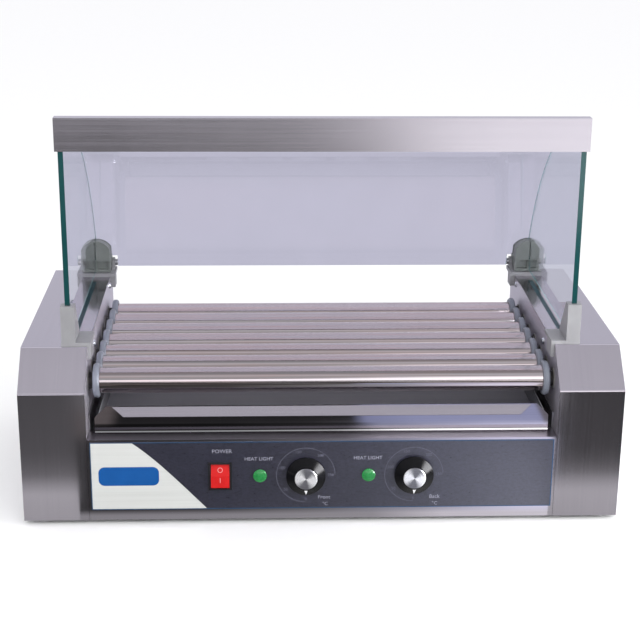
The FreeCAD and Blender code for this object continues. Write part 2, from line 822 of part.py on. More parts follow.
def chain_route():
    """The chain's closed pitch line as arcs and straight runs, and its length."""
    roller = pitch_radius_of(ROLLER_TEETH)
    wheels = [
        (number(back(roller_back(ROLLER_COUNT - 1))), number(up(roller_height)), roller),
        (number(back(roller_back(0))), number(up(roller_height)), roller),
        (number(back(drive_back)), number(up(drive_up)), pitch_radius_of(DRIVE_TEETH)),
    ]
    normals = []
    for index, (y, z, radius) in enumerate(wheels):
        next_y, next_z, next_radius = wheels[(index + 1) % len(wheels)]
        gap = math.hypot(next_y - y, next_z - z)
        heading = math.atan2(next_z - z, next_y - y)
        normals.append(heading - math.acos((radius - next_radius) / gap))
    pieces = []
    for index, (y, z, radius) in enumerate(wheels):
        arrive = normals[index - 1]
        leave = normals[index]
        turn = (leave - arrive) % (2 * math.pi)
        pieces.append(("arc", y, z, radius, arrive, turn, radius * turn))
        next_y, next_z, next_radius = wheels[(index + 1) % len(wheels)]
        start = (y + radius * math.cos(leave), z + radius * math.sin(leave))
        stop = (next_y + next_radius * math.cos(leave), next_z + next_radius * math.sin(leave))
        run = math.hypot(stop[0] - start[0], stop[1] - start[1])
        pieces.append(("run", start, stop, run))
    return pieces, sum(piece[-1] for piece in pieces)


def point_on_route(pieces, distance):
    """The (Y, Z) point at a distance along the chain's pitch line."""
    for piece in pieces:
        if distance > piece[-1]:
            distance -= piece[-1]
            continue
        share = distance / piece[-1]
        if piece[0] == "arc":
            _, y, z, radius, arrive, turn, _ = piece
            angle = arrive + turn * share
            return y + radius * math.cos(angle), z + radius * math.sin(angle)
        _, start, stop, _ = piece
        return start[0] + (stop[0] - start[0]) * share, start[1] + (stop[1] - start[1]) * share
    return point_on_route(pieces, 0)


def link_plate(first, second, low_x, thickness, radius):
    """One link plate: a flat bar with round ends between two pins."""
    start = FreeCAD.Vector(0, *first)
    stop = FreeCAD.Vector(0, *second)
    along = (stop - start).normalize()
    side = FreeCAD.Vector(0, -along.z, along.y) * radius
    corners = [start + side, stop + side, stop - side, start - side]
    edges = [
        Part.makeLine(corners[0], corners[1]),
        Part.Arc(corners[1], stop + along * radius, corners[2]).toShape(),
        Part.makeLine(corners[2], corners[3]),
        Part.Arc(corners[3], start - along * radius, corners[0]).toShape(),
    ]
    face = Part.Face(Part.Wire(edges))
    solid = face.extrude(FreeCAD.Vector(thickness, 0, 0))
    solid.translate(FreeCAD.Vector(low_x, 0, 0))
    return solid


def clear_of_teeth(point, margin):
    """True where a chain barrel stands clear of every turning sprocket."""
    reach = 1.5 + number(chain_barrel_radius) + margin
    wheels = [(number(back(roller_back(index))), number(up(roller_height)),
               pitch_radius_of(ROLLER_TEETH)) for index in range(ROLLER_COUNT)]
    wheels.append((number(back(drive_back)), number(up(drive_up)), pitch_radius_of(DRIVE_TEETH)))
    return all(math.hypot(point[0] - y, point[1] - z) > radius + reach for y, z, radius in wheels)


def make_drive_chain():
    """The roller chain: inner links with barrels, and outer links flush against them.

    The chain stands still while the sprockets turn, so a barrel is left out wherever it would
    lie among turning teeth.
    """
    pieces, length = chain_route()
    link_count = 2 * round(length / number(chain_pitch) / 2)
    pins = [point_on_route(pieces, length * index / link_count) for index in range(link_count)]
    half_gap = number(tooth_width) / 2 + 0.25
    thickness = 0.8
    plate_radius = 2.6
    centre = number(chain_plane)
    solids = []
    for index in range(link_count):
        first = pins[index]
        second = pins[(index + 1) % link_count]
        inner = index % 2 == 0
        offset = half_gap if inner else half_gap + thickness + 0.05
        plates = [link_plate(first, second, centre + offset, thickness, plate_radius),
                  link_plate(first, second, centre - offset - thickness, thickness, plate_radius)]
        barrels = []
        for pin in (first, second):
            if inner and clear_of_teeth(pin, 0.4):
                start = FreeCAD.Vector(centre - offset - thickness / 2, *pin)
                barrel = Part.makeCylinder(number(chain_barrel_radius), 2 * offset + thickness,
                                           start, FreeCAD.Vector(1, 0, 0))
                barrels.append(barrel)
        if barrels:
            solids.append(plates[0].fuse([plates[1]] + barrels).Solids[0])
        else:
            solids.extend(plates)
    chain = doc.addObject("Part::Feature", "chain")
    chain.Shape = Part.makeCompound(solids)
    keep("drive_chain", chain)


# ---------------------------------------------------------------- controls


def make_power_switch():
    """The rocker switch: a bezel and body in the panel, and the rocker that tips in it."""
    width, height = SWITCH_BEZEL
    deep, tall = SWITCH_BODY
    bezel_front = 2.4
    bezel = box("switch_bezel", (switch_across - width / 2, back(-bezel_front),
                                 up(control_up) - height / 2), (width, bezel_front - film, height))
    case = box("switch_case", (switch_across - deep / 2, back(-film - 0.5),
                               up(control_up) - tall / 2), (deep, 22, tall))
    well = box("switch_well", (switch_across - ROCKER_HALF - 0.3, back(-4),
                               up(control_up) - ROCKER_RADIUS - 0.4),
               (ROCKER_HALF * 2 + 0.6, 4 + ROCKER_PIVOT + 5.6, ROCKER_RADIUS * 2 + 0.8))
    axle = cylinder("switch_axle_hole", (switch_across - ROCKER_HALF - 1, back(ROCKER_PIVOT),
                                         up(control_up)), "x", 1.5 + running_clearance,
                    ROCKER_HALF * 2 + 2)
    tabs = [box("switch_tab", (switch_across - 3, back(21), up(control_up) + shift - 0.4),
                (6, 9, 0.8)) for shift in (-7, 0, 7)]
    body = fuse("switch_body", bezel, case, *tabs)
    keep("power_switch_body", cut("switch_cut", body, well, axle))

    front, end = ROCKER_RIDGE, ROCKER_END
    rear = -3
    reach = math.sqrt(ROCKER_RADIUS ** 2 - end[0] ** 2)
    low = math.sqrt(ROCKER_RADIUS ** 2 - rear ** 2)
    corners = [(-front, 0), (-end[0], -reach, ROCKER_RADIUS), (-rear, -low), (-rear, low, ROCKER_RADIUS),
               (-end[0], reach)]
    rocker = prism("rocker_body", "YZ", corners, ROCKER_HALF * 2, (-ROCKER_HALF, 0, 0))
    pins = cylinder("rocker_pins", (-ROCKER_HALF - 0.9, 0, 0), "x", 1.5, ROCKER_HALF * 2 + 1.8)
    tipped = fuse("rocker", rocker, pins)
    tipped.Placement = FreeCAD.Placement(
        FreeCAD.Vector(), FreeCAD.Rotation(FreeCAD.Vector(1, 0, 0), -ROCKER_TILT))
    place(tipped, (switch_across, back(ROCKER_PIVOT), up(control_up)))
    keep("power_rocker", tipped)


ROCKER_HALF = 8.9
ROCKER_RADIUS = 12.3
ROCKER_PIVOT = 1.2
ROCKER_TILT = 10
ROCKER_RIDGE = 5.0
ROCKER_END = (3.3,)


def make_heat_lamps():
    """Two indicator lamps: a barrel with a nut behind the panel, and a domed lens in front."""
    bodies = []
    lenses = []
    for across in (front_lamp_across, back_lamp_across):
        spot = (across, back(0), up(control_up))
        barrel = cylinder("lamp_barrel", (across, back(-film), up(control_up)), "y",
                          LAMP_BARREL_RADIUS, 24)
        nut = cylinder("lamp_nut", (across, back(metal + 0.1), up(control_up)), "y", 7.5, 3)
        tabs = box("lamp_tabs", (across - 3, back(23), up(control_up) - 0.4), (6, 7, 0.8))
        bodies.append(fuse("lamp_body", barrel, nut, tabs))
        lip = -film - 0.05
        corners = [(0, lip), (LAMP_LENS_RADIUS, lip), (LAMP_LENS_RADIUS, lip - 1.2, -11.9),
                   (0, lip - 3.2)]
        lenses.append(turned("lamp_lens", "XY", corners, "V_Axis", spot))
    keep("heat_lamp_bodies", group("lamp_body_pair", *bodies))
    keep("heat_lamp_lenses", group("lamp_lens_pair", *lenses))


ZONES = {"front_zone": front_knob_across, "back_zone": back_knob_across}


def make_thermostats():
    """Two thermostats behind the panel, each with a shaft and a knob in front."""
    bodies = []
    for across in ZONES.values():
        case = box("thermostat_case", (across - 18, back(9), up(control_up) - 18), (36, 24, 36))
        boss = cylinder("thermostat_boss", (across, back(metal + 0.1), up(control_up)), "y", 6, 9)
        bore = cylinder("thermostat_bore", (across, back(0), up(control_up)), "y",
                        SHAFT_RADIUS + running_clearance, 22)
        bodies.append(cut("thermostat", fuse("thermostat_body", case, boss), bore))
    keep("thermostats", group("thermostat_pair", *bodies))


def make_knob(zone):
    """A shaft, a bevelled knob with a front recess, and the metal cap that fills it."""
    across = ZONES[zone]
    spot = (across, back(0), up(control_up))
    seat = 6.5
    shaft = cylinder(zone + "_shaft_bar", (across, back(-seat), up(control_up)), "y",
                     SHAFT_RADIUS, seat + 20)
    keep(zone + "_control_shaft", shaft)
    bore = SHAFT_RADIUS + 0.02
    cap_radius = 10.8
    ring = cap_radius + 1.6
    face = -knob_depth + 1.2
    corners = [
        (bore, -1.0), (knob_radius, -1.0), (knob_radius, -4.4), (ring, face + 0.6),
        (ring - 0.8, face), (cap_radius + 0.1, face), (cap_radius + 0.1, face + 1.6),
        (0, face + 1.6), (0, -seat - 0.02), (bore, -seat - 0.02),
    ]
    keep(zone + "_knob", turned(zone + "_knob_body", "XY", corners, "V_Axis", spot))
    corners = [(0, face + 1.58), (cap_radius, face + 1.58), (cap_radius, face - 0.5),
               (cap_radius - 0.8, -knob_depth), (0, -knob_depth)]
    keep(zone + "_knob_cap", turned(zone + "_cap", "XY", corners, "V_Axis", spot))


def make_terminal_block():
    """The screw terminals on the base pan where the mains cord's wires end."""
    low = (CORD_ACROSS - 40, back(235), up(plate + 0.1))
    block = box("terminal_body", low, (62, 20, 16))
    wells = []
    for index in range(5):
        spot = (CORD_ACROSS - 33 + index * 12, back(245), up(plate + 8))
        wells.append(cylinder("terminal_well", spot, "z", 3.2, 12))
    keep("terminal_block", cut("terminal_cut", block, *wells))


# ---------------------------------------------------------------- drip tray


def make_drip_tray():
    """The folded pan below the rollers, with its front plate and turned-down pull."""
    low = panel_height + tray_gap
    thin = 0.8
    floor_front = tray_front + 0.5
    outer = box("tray_outer", (-tray_half, back(floor_front), up(low)),
                (tray_half * 2, tray_back - floor_front, tray_wall_top - low))
    inner = box("tray_inner", (-tray_half + thin, back(floor_front + thin), up(low + thin)),
                (tray_half * 2 - thin * 2, tray_back - floor_front - thin * 2,
                 tray_wall_top - low + 1))
    pan = cut("tray_pan", outer, inner)
    plate_half = tray_half + 4
    chamfer = 11.5
    corners = [
        (-plate_half, up(low)), (plate_half, up(low)), (plate_half, up(tray_plate_top - chamfer)),
        (plate_half - chamfer, up(tray_plate_top)), (-plate_half + chamfer, up(tray_plate_top)),
        (-plate_half, up(tray_plate_top - chamfer)),
    ]
    front = prism("tray_front_plate", "XZ", corners, metal, (0, back(tray_front), 0))
    pull_length = 11
    top_half = plate_half - chamfer - 5
    taper = 12
    corners = [(-top_half, 0), (-top_half + taper, -pull_length),
               (top_half - taper, -pull_length), (top_half, 0)]
    pull = prism("tray_pull", "XY", corners, 0.9)
    pull.Placement = FreeCAD.Placement(
        FreeCAD.Vector(), FreeCAD.Rotation(FreeCAD.Vector(1, 0, 0), 45))
    place(pull, (0, back(tray_front + 1), up(tray_plate_top - 1)))
    keep("drip_tray", fuse("drip_tray_body", pan, front, pull))


# ---------------------------------------------------------------- glass hood


def arc_back(height, radius):
    """How far back the hood's arc lies at a height."""
    rise = height - hood_centre_up
    return hood_centre_back + root(radius * radius - rise * rise)


def arc_up(distance, radius):
    """How high the hood's arc lies at a distance behind the front."""
    run = distance - hood_centre_back
    return hood_centre_up + root(radius * radius - run * run)


CLAMP_FRONT = 274
CLAMP_TOP = 185
BARREL_RADIUS = 5.3
CLAMP_NEAR = 226.1
CLAMP_FAR = 256.9
JAW_FRONT = 272
JAW_TOP_RADIUS = 17
JAW_SIDE_TOP = 196.5


def make_side_glass(side_name):
    """A flat pane with an upright front edge and one long arc behind, notched at its clamp."""
    notch_up = as_size(CLAMP_TOP + 0.6)
    notch_back = JAW_FRONT - 0.8
    corners = [
        (back(glass_front), up(glass_bottom)), (back(notch_back), up(glass_bottom)),
        (back(notch_back), up(notch_up)), (back(arc_back(notch_up, hood_radius)), up(notch_up),
                                           hood_radius),
        (back(glass_front), up(arc_up(glass_front, hood_radius))),
    ]
    low, width = span(SIDES[side_name], glass_centre - glass / 2, glass_centre + glass / 2)
    keep(side_name + "_side_glass", prism(side_name + "_pane", "YZ", corners, width, (low, 0, 0)))


def make_curved_glass():
    """The bent pane between the side panes, with its lower corners notched at the clamps."""
    inner_radius = hood_radius - curved_glass
    corners = [
        (back(arc_back(glass_bottom, hood_radius)), up(glass_bottom), hood_radius),
        (back(glass_front), up(arc_up(glass_front, hood_radius))),
        (back(glass_front), up(arc_up(glass_front, inner_radius)), -inner_radius),
        (back(arc_back(glass_bottom, inner_radius)), up(glass_bottom)),
    ]
    half = glass_centre - glass / 2 - 0.25
    pane = prism("curved_pane", "YZ", corners, half * 2, (-half, 0, 0))
    notches = [side_box("pane_notch", side, (CLAMP_NEAR - 6.8, 244), (JAW_FRONT - 4, 305),
                        (165, CLAMP_TOP + 0.6)) for side in SIDES.values()]
    keep("curved_rear_glass", cut("curved_glass_cut", pane, *notches))


def make_top_band():
    """The steel channel over the hood's front edge, closed at both ends."""
    face = band_front
    corners = [
        (back(face), up(band_bottom)), (back(face) + metal, up(band_bottom)),
        (back(face) + metal, up(band_top) - metal), (back(face + band_depth), up(band_top) - metal),
        (back(face + band_depth), up(band_top)), (back(face), up(band_top)),
    ]
    channel = prism("band_channel", "YZ", corners, band_half * 2, (-band_half, 0, 0))
    ends = []
    for side in SIDES.values():
        low, width = span(side, band_half - metal, band_half)
        ends.append(box("band_end", (low, back(face), up(band_bottom)),
                        (width, band_depth, band_top - band_bottom)))
    keep("hood_top_band", fuse("hood_band_body", channel, *ends))


def make_glass_clamp(side_name):
    """The moving half of a hinge: a barrel block below two jaws that hold the panes."""
    side = SIDES[side_name]
    low, width = span(side, CLAMP_NEAR, CLAMP_FAR)
    corners = [
        (back(CLAMP_FRONT), up(hinge_up) - BARREL_RADIUS),
        (back(hinge_back), up(hinge_up) - BARREL_RADIUS, BARREL_RADIUS),
        (back(hinge_back) + BARREL_RADIUS, up(hinge_up)),
        (back(hinge_back) + BARREL_RADIUS, up(CLAMP_TOP)), (back(CLAMP_FRONT), up(CLAMP_TOP)),
    ]
    block = prism(side_name + "_clamp_block", "YZ", corners, width, (low, 0, 0))
    middle = (CLAMP_NEAR + CLAMP_FAR) / 2
    recesses = [side_box("clamp_recess", side, (near, near + 11.6),
                         (CLAMP_FRONT - 1, CLAMP_FRONT + 3), (173.6, CLAMP_TOP - 2.4))
                for near in (middle - 13.2, middle + 1.6)]
    corners = [
        (low, up(CLAMP_TOP - 1)), (low + width, up(CLAMP_TOP - 1)),
        (low + width, up(JAW_SIDE_TOP), JAW_TOP_RADIUS), (low, up(JAW_SIDE_TOP)),
    ]
    centre = (back(hood_centre_back), up(hood_centre_up))
    jaws = []
    for inner, outer in ((0, hood_radius - curved_glass - 0.2),
                         (hood_radius + 0.2, hood_radius + 3.4)):
        arch = prism("clamp_arch", "XZ", corners, 30, (0, back(JAW_FRONT), 0))
        drum = cylinder("clamp_drum", (low - 1, *centre), "x", outer, width + 2)
        if inner:
            hollow = cylinder("clamp_hollow", (low - 2, *centre), "x", inner, width + 4)
            drum = cut("clamp_ring", drum, hollow)
        jaws.append(common("clamp_jaw", arch, drum))
    slot_half = glass / 2 + 0.3
    slot = side_box("clamp_slot", side, (glass_centre - slot_half, glass_centre + slot_half),
                    (JAW_FRONT - 1, 300), (CLAMP_TOP + 0.2, 215))
    front_jaw = cut("clamp_front_jaw", jaws[0], slot)
    shelf_tool = side_box("clamp_shelf", side, (CLAMP_NEAR, CLAMP_FAR), (JAW_FRONT, CLAMP_FRONT + 1),
                          (CLAMP_TOP - 1, CLAMP_TOP + 0.2))
    bore = cylinder("clamp_bore", (low - 1, back(hinge_back), up(hinge_up)), "x",
                    pin_radius + running_clearance, width + 2)
    solid = fuse(side_name + "_clamp_body", block, front_jaw, jaws[1], shelf_tool)
    keep(side_name + "_glass_clamp", cut(side_name + "_clamp_cut", solid, bore, *recesses))


def make_hinge_base(side_name):
    """The fixed half of a hinge: a plate on the housing, a clip leg and two lugs."""
    side = SIDES[side_name]
    top = housing_height + 4
    lug_radius = 5.6
    foot = side_box("hinge_foot", side, (HINGE_LEG_NEAR, LUG_FAR + LUG_WIDTH), (270, 300),
                    (housing_height, top))
    leg = side_box("hinge_leg", side, (HINGE_LEG_NEAR, inner_wall - 0.1), (271, 287),
                   (154, housing_height + 1))
    lugs = []
    for near in (CLAMP_NEAR - 0.4 - LUG_WIDTH, LUG_FAR):
        low, width = span(side, near, near + LUG_WIDTH)
        corners = [
            (back(284), up(top) - 0.5), (back(300), up(top) - 0.5), (back(300), up(top)),
            (back(hinge_back) + lug_radius, up(hinge_up), lug_radius),
            (back(hinge_back) - lug_radius, up(hinge_up)), (back(284), up(top)),
        ]
        lugs.append(prism("hinge_lug", "YZ", corners, width, (low, 0, 0)))
    bore_low, bore_width = span(side, 219, 270)
    bore = cylinder("hinge_bore", (bore_low, back(hinge_back), up(hinge_up)), "x",
                    pin_radius + 0.02, bore_width)
    keep(side_name + "_hinge_base",
         cut(side_name + "_hinge_cut", fuse(side_name + "_hinge_body", foot, leg, *lugs), bore))


HINGE_LEG_NEAR = 221
SUPPORT_LEG_NEAR = 223.2
LUG_WIDTH = 2.8
LUG_FAR = CLAMP_FAR + 0.4


def make_hinge_pins():
    """The two pins that the hood turns on, with a button head at each end."""
    pins = []
    near = CLAMP_NEAR - 0.4 - LUG_WIDTH
    far = LUG_FAR + LUG_WIDTH
    for side in SIDES.values():
        low, length = span(side, near - 1, far + 1)
        spot = (back(hinge_back), up(hinge_up))
        bar = cylinder("pin_bar", (low, *spot), "x", pin_radius, length)
        heads = []
        for head_near, head_far in ((near - 3, near - 0.1), (far + 0.1, far + 3)):
            low, length = span(side, head_near, head_far)
            heads.append(cylinder("pin_head", (low, *spot), "x", 3.6, length))
        pins.append(fuse("hinge_pin", bar, *heads))
    keep("hinge_pins", group("hinge_pin_pair", *pins))


def make_front_glass_support(side_name):
    """The bracket with a slotted fin that the closed hood's front corner stands in."""
    side = SIDES[side_name]
    front, rear = 37, 73
    base_top = housing_height + 3.5
    fin_half = 6.6
    corners = [
        (back(front), up(housing_height)), (back(rear), up(housing_height)),
        (back(rear), up(base_top)), (back(front + 12), up(FIN_TOP)), (back(front), up(FIN_TOP)),
    ]
    low, width = span(side, glass_centre - fin_half, glass_centre + fin_half)
    fin = prism(side_name + "_fin", "YZ", corners, width, (low, 0, 0))
    base = side_box("support_base", side, (SUPPORT_LEG_NEAR, glass_centre + 7), (front, rear),
                    (housing_height, base_top))
    leg = side_box("support_leg", side, (SUPPORT_LEG_NEAR, inner_wall - 0.1), (front, 58),
                   (153, housing_height + 1))
    slot_half = glass / 2 + 0.3
    slot = side_box("support_slot", side, (glass_centre - slot_half, glass_centre + slot_half),
                    (glass_front - 0.6, rear + 5), (glass_bottom - 0.6, FIN_TOP + 5))
    keep(side_name + "_front_glass_support",
         cut(side_name + "_support_cut", fuse(side_name + "_support_body", fin, base, leg), slot))


FIN_TOP = 206


# ---------------------------------------------------------------- assembly


def make_everything():
    make_base_pan()
    make_rubber_feet()
    for side_name in SIDES:
        make_housing_cover(side_name)
        make_inner_side_plate(side_name)
        make_front_glass_support(side_name)
        make_hinge_base(side_name)
        make_glass_clamp(side_name)
        make_side_glass(side_name)
    make_control_panel()
    make_panel_overlay()
    make_rear_panel()
    make_cord_gland()
    make_tray_guide_rails()
    make_housing_screws()
    for index in range(ROLLER_COUNT):
        make_roller(index)
    make_roller_bushes()
    make_heating_elements()
    make_heater_brackets()
    make_gear_motor()
    make_motor_bracket()
    make_drive_sprocket()
    make_drive_chain()
    make_power_switch()
    make_heat_lamps()
    make_thermostats()
    for zone in ZONES:
        make_knob(zone)
    make_terminal_block()
    make_drip_tray()
    make_curved_glass()
    make_top_band()
    make_hinge_pins()


def check_document():
    """Stop where any object failed, or a node's shape is empty or broken."""
    for item in doc.Objects:
        if "Invalid" in item.State or "Error" in item.State:
            raise RuntimeError(f"{item.Name} ({item.Label}) failed: {item.State}")
    for name, item in nodes.items():
        if item.Shape.isNull() or not item.Shape.isValid() or not item.Shape.Solids:
            raise RuntimeError(f"{name} has no valid solid")


def write_parts():
    os.makedirs("parts", exist_ok=True)
    for name, item in nodes.items():
        item.Shape.exportStep(os.path.join("parts", name + ".step"))


make_everything()
doc.recompute()
check_document()
write_parts()
print(len(nodes), "nodes written")
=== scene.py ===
import json
import math

import bmesh
import bpy
from mathutils import Matrix, Vector


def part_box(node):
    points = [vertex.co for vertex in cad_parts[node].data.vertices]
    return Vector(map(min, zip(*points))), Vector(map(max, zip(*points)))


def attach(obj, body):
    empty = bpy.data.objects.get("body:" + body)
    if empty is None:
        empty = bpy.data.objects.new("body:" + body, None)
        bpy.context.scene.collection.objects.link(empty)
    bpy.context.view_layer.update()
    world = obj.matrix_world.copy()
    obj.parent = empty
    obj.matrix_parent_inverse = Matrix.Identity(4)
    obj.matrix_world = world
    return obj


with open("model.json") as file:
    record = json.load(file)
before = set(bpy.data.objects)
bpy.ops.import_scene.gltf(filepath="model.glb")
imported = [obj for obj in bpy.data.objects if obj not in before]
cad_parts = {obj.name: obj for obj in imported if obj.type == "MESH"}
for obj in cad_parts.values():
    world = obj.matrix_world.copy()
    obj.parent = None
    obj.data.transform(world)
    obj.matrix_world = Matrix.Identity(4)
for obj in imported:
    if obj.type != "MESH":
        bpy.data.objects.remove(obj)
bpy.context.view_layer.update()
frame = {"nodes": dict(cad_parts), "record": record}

nodes = frame["nodes"]
slot_of = {part["node"]: part["material_slot"] for part in frame["record"]["subparts"]}
scene = bpy.context.scene
MM = 0.001


# ---------------------------------------------------------------- material helpers


class Graph:
    """Short calls that add nodes to a tree and feed them with numbers or with other nodes."""

    # the Mix node's two inputs and its output for each kind of value
    MIX_SOCKETS = {"FLOAT": (2, 3, 0), "VECTOR": (4, 5, 1), "RGBA": (6, 7, 2)}

    def __init__(self, tree):
        self.tree = tree

    def add(self, kind, **settings):
        node = self.tree.nodes.new(kind)
        for key, value in settings.items():
            setattr(node, key, value)
        return node

    def feed(self, socket, value):
        if isinstance(value, bpy.types.NodeSocket):
            self.tree.links.new(value, socket)
        elif hasattr(value, "__len__") and len(value) == 3 and socket.type == "RGBA":
            socket.default_value = (*value, 1.0)
        else:
            socket.default_value = value

    def math(self, operation, *values, clamp=False):
        node = self.add("ShaderNodeMath", operation=operation, use_clamp=clamp)
        for socket, value in zip(node.inputs, values):
            self.feed(socket, value)
        return node.outputs[0]

    def above(self, value, limit):
        return self.math("GREATER_THAN", value, limit)

    def below(self, value, limit):
        return self.math("LESS_THAN", value, limit)

    def weigh(self, share, first, second):
        """A weighted sum: the first value has this share and the second has the rest."""
        return self.math("ADD", self.math("MULTIPLY", first, share),
                         self.math("MULTIPLY", second, 1 - share))

    def split(self, vector):
        node = self.add("ShaderNodeSeparateXYZ")
        self.feed(node.inputs[0], vector)
        return node.outputs

    def join(self, x, y, z):
        node = self.add("ShaderNodeCombineXYZ")
        for socket, value in zip(node.inputs, (x, y, z)):
            self.feed(socket, value)
        return node.outputs[0]

    def scaled(self, vector, factors):
        node = self.add("ShaderNodeVectorMath", operation="MULTIPLY")
        self.feed(node.inputs[0], vector)
        node.inputs[1].default_value = factors
        return node.outputs[0]

    def noise(self, vector, scale, detail=2.0, rough=0.5):
        node = self.add("ShaderNodeTexNoise")
        self.feed(node.inputs["Vector"], vector)
        node.inputs["Scale"].default_value = scale
        node.inputs["Detail"].default_value = detail
        node.inputs["Roughness"].default_value = rough
        return node.outputs["Fac"]

    def remap(self, value, low, high, to_low, to_high, smooth=False):
        node = self.add("ShaderNodeMapRange")
        node.interpolation_type = "SMOOTHSTEP" if smooth else "LINEAR"
        for socket, item in zip(node.inputs, (value, low, high, to_low, to_high)):
            self.feed(socket, item)
        return node.outputs[0]

    def spread(self, noise, to_low=0.0, to_high=1.0):
        """A noise value, which mostly lies from 0.3 to 0.7, stretched to new limits."""
        return self.remap(noise, 0.3, 0.7, to_low, to_high)

    def around(self, noise, value, reach):
        """A noise value stretched to reach as far below a value as above it."""
        return self.spread(noise, value - reach, value + reach)

    def mix(self, share, low, high, kind="RGBA"):
        """The low one where the share is 0 and the high one where it is 1."""
        node = self.add("ShaderNodeMix", data_type=kind)
        low_socket, high_socket, out = self.MIX_SOCKETS[kind]
        self.feed(node.inputs[0], share)
        self.feed(node.inputs[low_socket], low)
        self.feed(node.inputs[high_socket], high)
        return node.outputs[out]

    def mix_values(self, share, low, high):
        return self.mix(share, low, high, "FLOAT")

    def mix_shaders(self, share, low, high):
        node = self.add("ShaderNodeMixShader")
        for socket, value in zip(node.inputs, (share, low, high)):
            self.feed(socket, value)
        return node.outputs[0]

    def ramp(self, value, stops):
        """Colours at given values, in order, joined by straight blends."""
        low, high = stops[0][0], stops[-1][0]
        node = self.add("ShaderNodeValToRGB")
        self.feed(node.inputs[0], self.remap(value, low, high, 0.0, 1.0))
        line = node.color_ramp.elements
        while len(line) < len(stops):
            line.new(0.5)
        for element, (position, colour) in zip(line, stops):
            element.position = (position - low) / (high - low)
            shade = colour if hasattr(colour, "__len__") else (colour,) * 3
            element.color = (*shade, 1.0)
        return node.outputs[0]


class Finish(Graph):
    """One node material, built round a Principled shader."""

    def __init__(self, name, **sockets):
        self.material = bpy.data.materials.new(name)
        self.material.use_nodes = True
        super().__init__(self.material.node_tree)
        self.shader = self.tree.nodes["Principled BSDF"]
        self.output = self.tree.nodes["Material Output"]
        coords = self.add("ShaderNodeTexCoord")
        self.point = coords.outputs["Object"]
        self.normal = coords.outputs["Normal"]
        self.set(**sockets)

    def set(self, **sockets):
        for socket, value in sockets.items():
            self.feed(self.shader.inputs[socket.replace("_", " ")], value)

    def bumped(self, height, distance, strength):
        """Adds the last thing, the bump, and gives the material."""
        node = self.add("ShaderNodeBump")
        node.inputs["Strength"].default_value = strength
        node.inputs["Distance"].default_value = distance
        self.feed(node.inputs["Height"], height)
        self.feed(self.shader.inputs["Normal"], node.outputs[0])
        return self.material


def tint(colour, factor):
    return tuple(channel * factor for channel in colour)


# ---------------------------------------------------------------- finishes used many times


ALONG = 0.004    # how much coordinates shrink along brushed lines
FACING = 0.7     # a normal's part along an axis, above which the face counts as facing that way


def brush_lines(finish, direction):
    """Object coordinates squeezed so that noise draws lines that run along a direction.

    "x" is for sheets whose lines run sideways. On a "fold" the lines go round the folds of a
    cover, and along Y on the walls that stand across X.
    """
    if direction == "x":
        return finish.scaled(finish.point, (ALONG, 1.0, 1.0))
    nx, _, _ = finish.split(finish.normal)
    wall = finish.above(finish.math("ABSOLUTE", nx), FACING)
    return finish.mix(wall, finish.scaled(finish.point, (1.0, ALONG, ALONG)),
                      finish.scaled(finish.point, (ALONG, ALONG, 1.0)), "VECTOR")


def brushed(name, colour, direction, rough=0.26, contrast=0.05, cloud=0.03, metallic=1.0,
            level_rough=None, slope_highlight=None):
    """Brushed stainless sheet: long scratches in two widths, with soft smears over them.

    level_rough is the roughness of the level faces, and slope_highlight brightens the front
    slopes: a painted highlight.
    """
    finish = Finish(name, Metallic=metallic)
    lines = brush_lines(finish, direction)
    fine = finish.noise(lines, 2600, 2.0, 0.6)
    broad = finish.noise(lines, 420, 3.0, 0.6)
    smear = finish.noise(finish.point, 9, 3.0, 0.55)
    grain = finish.weigh(0.6, fine, broad)
    share = finish.spread(finish.weigh(0.75, grain, smear))
    _, ny, nz = finish.split(finish.normal)

    def grain_tone(gain):
        return finish.mix(share, tint(colour, gain - contrast), tint(colour, gain + contrast))

    base = grain_tone(1.0)
    # painted highlight: the colour of the front slopes is brightened
    if slope_highlight:
        lit_slope = finish.math("MULTIPLY", finish.above(nz, 0.6), finish.below(ny, -0.3))
        base = finish.mix(lit_slope, base, grain_tone(slope_highlight))
    scratched = finish.around(grain, rough, 0.05)
    if level_rough:
        polish = finish.mix_values(finish.above(nz, 0.9), scratched,
                                   finish.around(grain, level_rough, 0.05))
    else:
        polish = finish.math("ADD", scratched, finish.around(smear, 0.0, cloud))
    finish.set(Base_Color=base, Roughness=polish)
    return finish.bumped(grain, 0.00001, 0.2)


def moulded(name, colour, rough, grain=1400, depth=0.00002, **sockets):
    """Plastic, rubber or enamel: fine grain, slow shade changes and scuffed roughness."""
    finish = Finish(name, **sockets)
    fine = finish.noise(finish.point, grain, 3.0, 0.6)
    slow = finish.noise(finish.point, 60, 3.0, 0.5)
    finish.set(
        Base_Color=finish.mix(finish.spread(slow), tint(colour, 0.94), tint(colour, 1.06)),
        Roughness=finish.math("ADD", finish.around(fine, rough, 0.04),
                              finish.spread(slow, -0.03, 0.05)),
    )
    return finish.bumped(fine, depth, 0.4)


def plain_metal(name, colour, rough, grain):
    """Plated or rolled metal with spangle, stains and fine pits."""
    finish = Finish(name, Metallic=1.0)
    spangle = finish.noise(finish.point, grain, 2.0, 0.5)
    stain = finish.noise(finish.point, 40, 4.0, 0.6)
    finish.set(
        Base_Color=finish.mix(finish.spread(stain), tint(colour, 0.85), tint(colour, 1.08)),
        Roughness=finish.math("ADD", finish.around(spangle, rough, 0.06),
                              finish.spread(stain, -0.04, 0.06)),
    )
    return finish.bumped(spangle, 0.00003, 0.3)


def side_edges(finish):
    """1 on the narrow faces of a pane that stands across X."""
    nx, _, _ = finish.split(finish.normal)
    return finish.below(finish.math("ABSOLUTE", nx), 0.5)


def end_edges(finish):
    """1 on the two end faces of the bent pane."""
    nx, _, _ = finish.split(finish.normal)
    return finish.above(finish.math("ABSOLUTE", nx), 0.5)


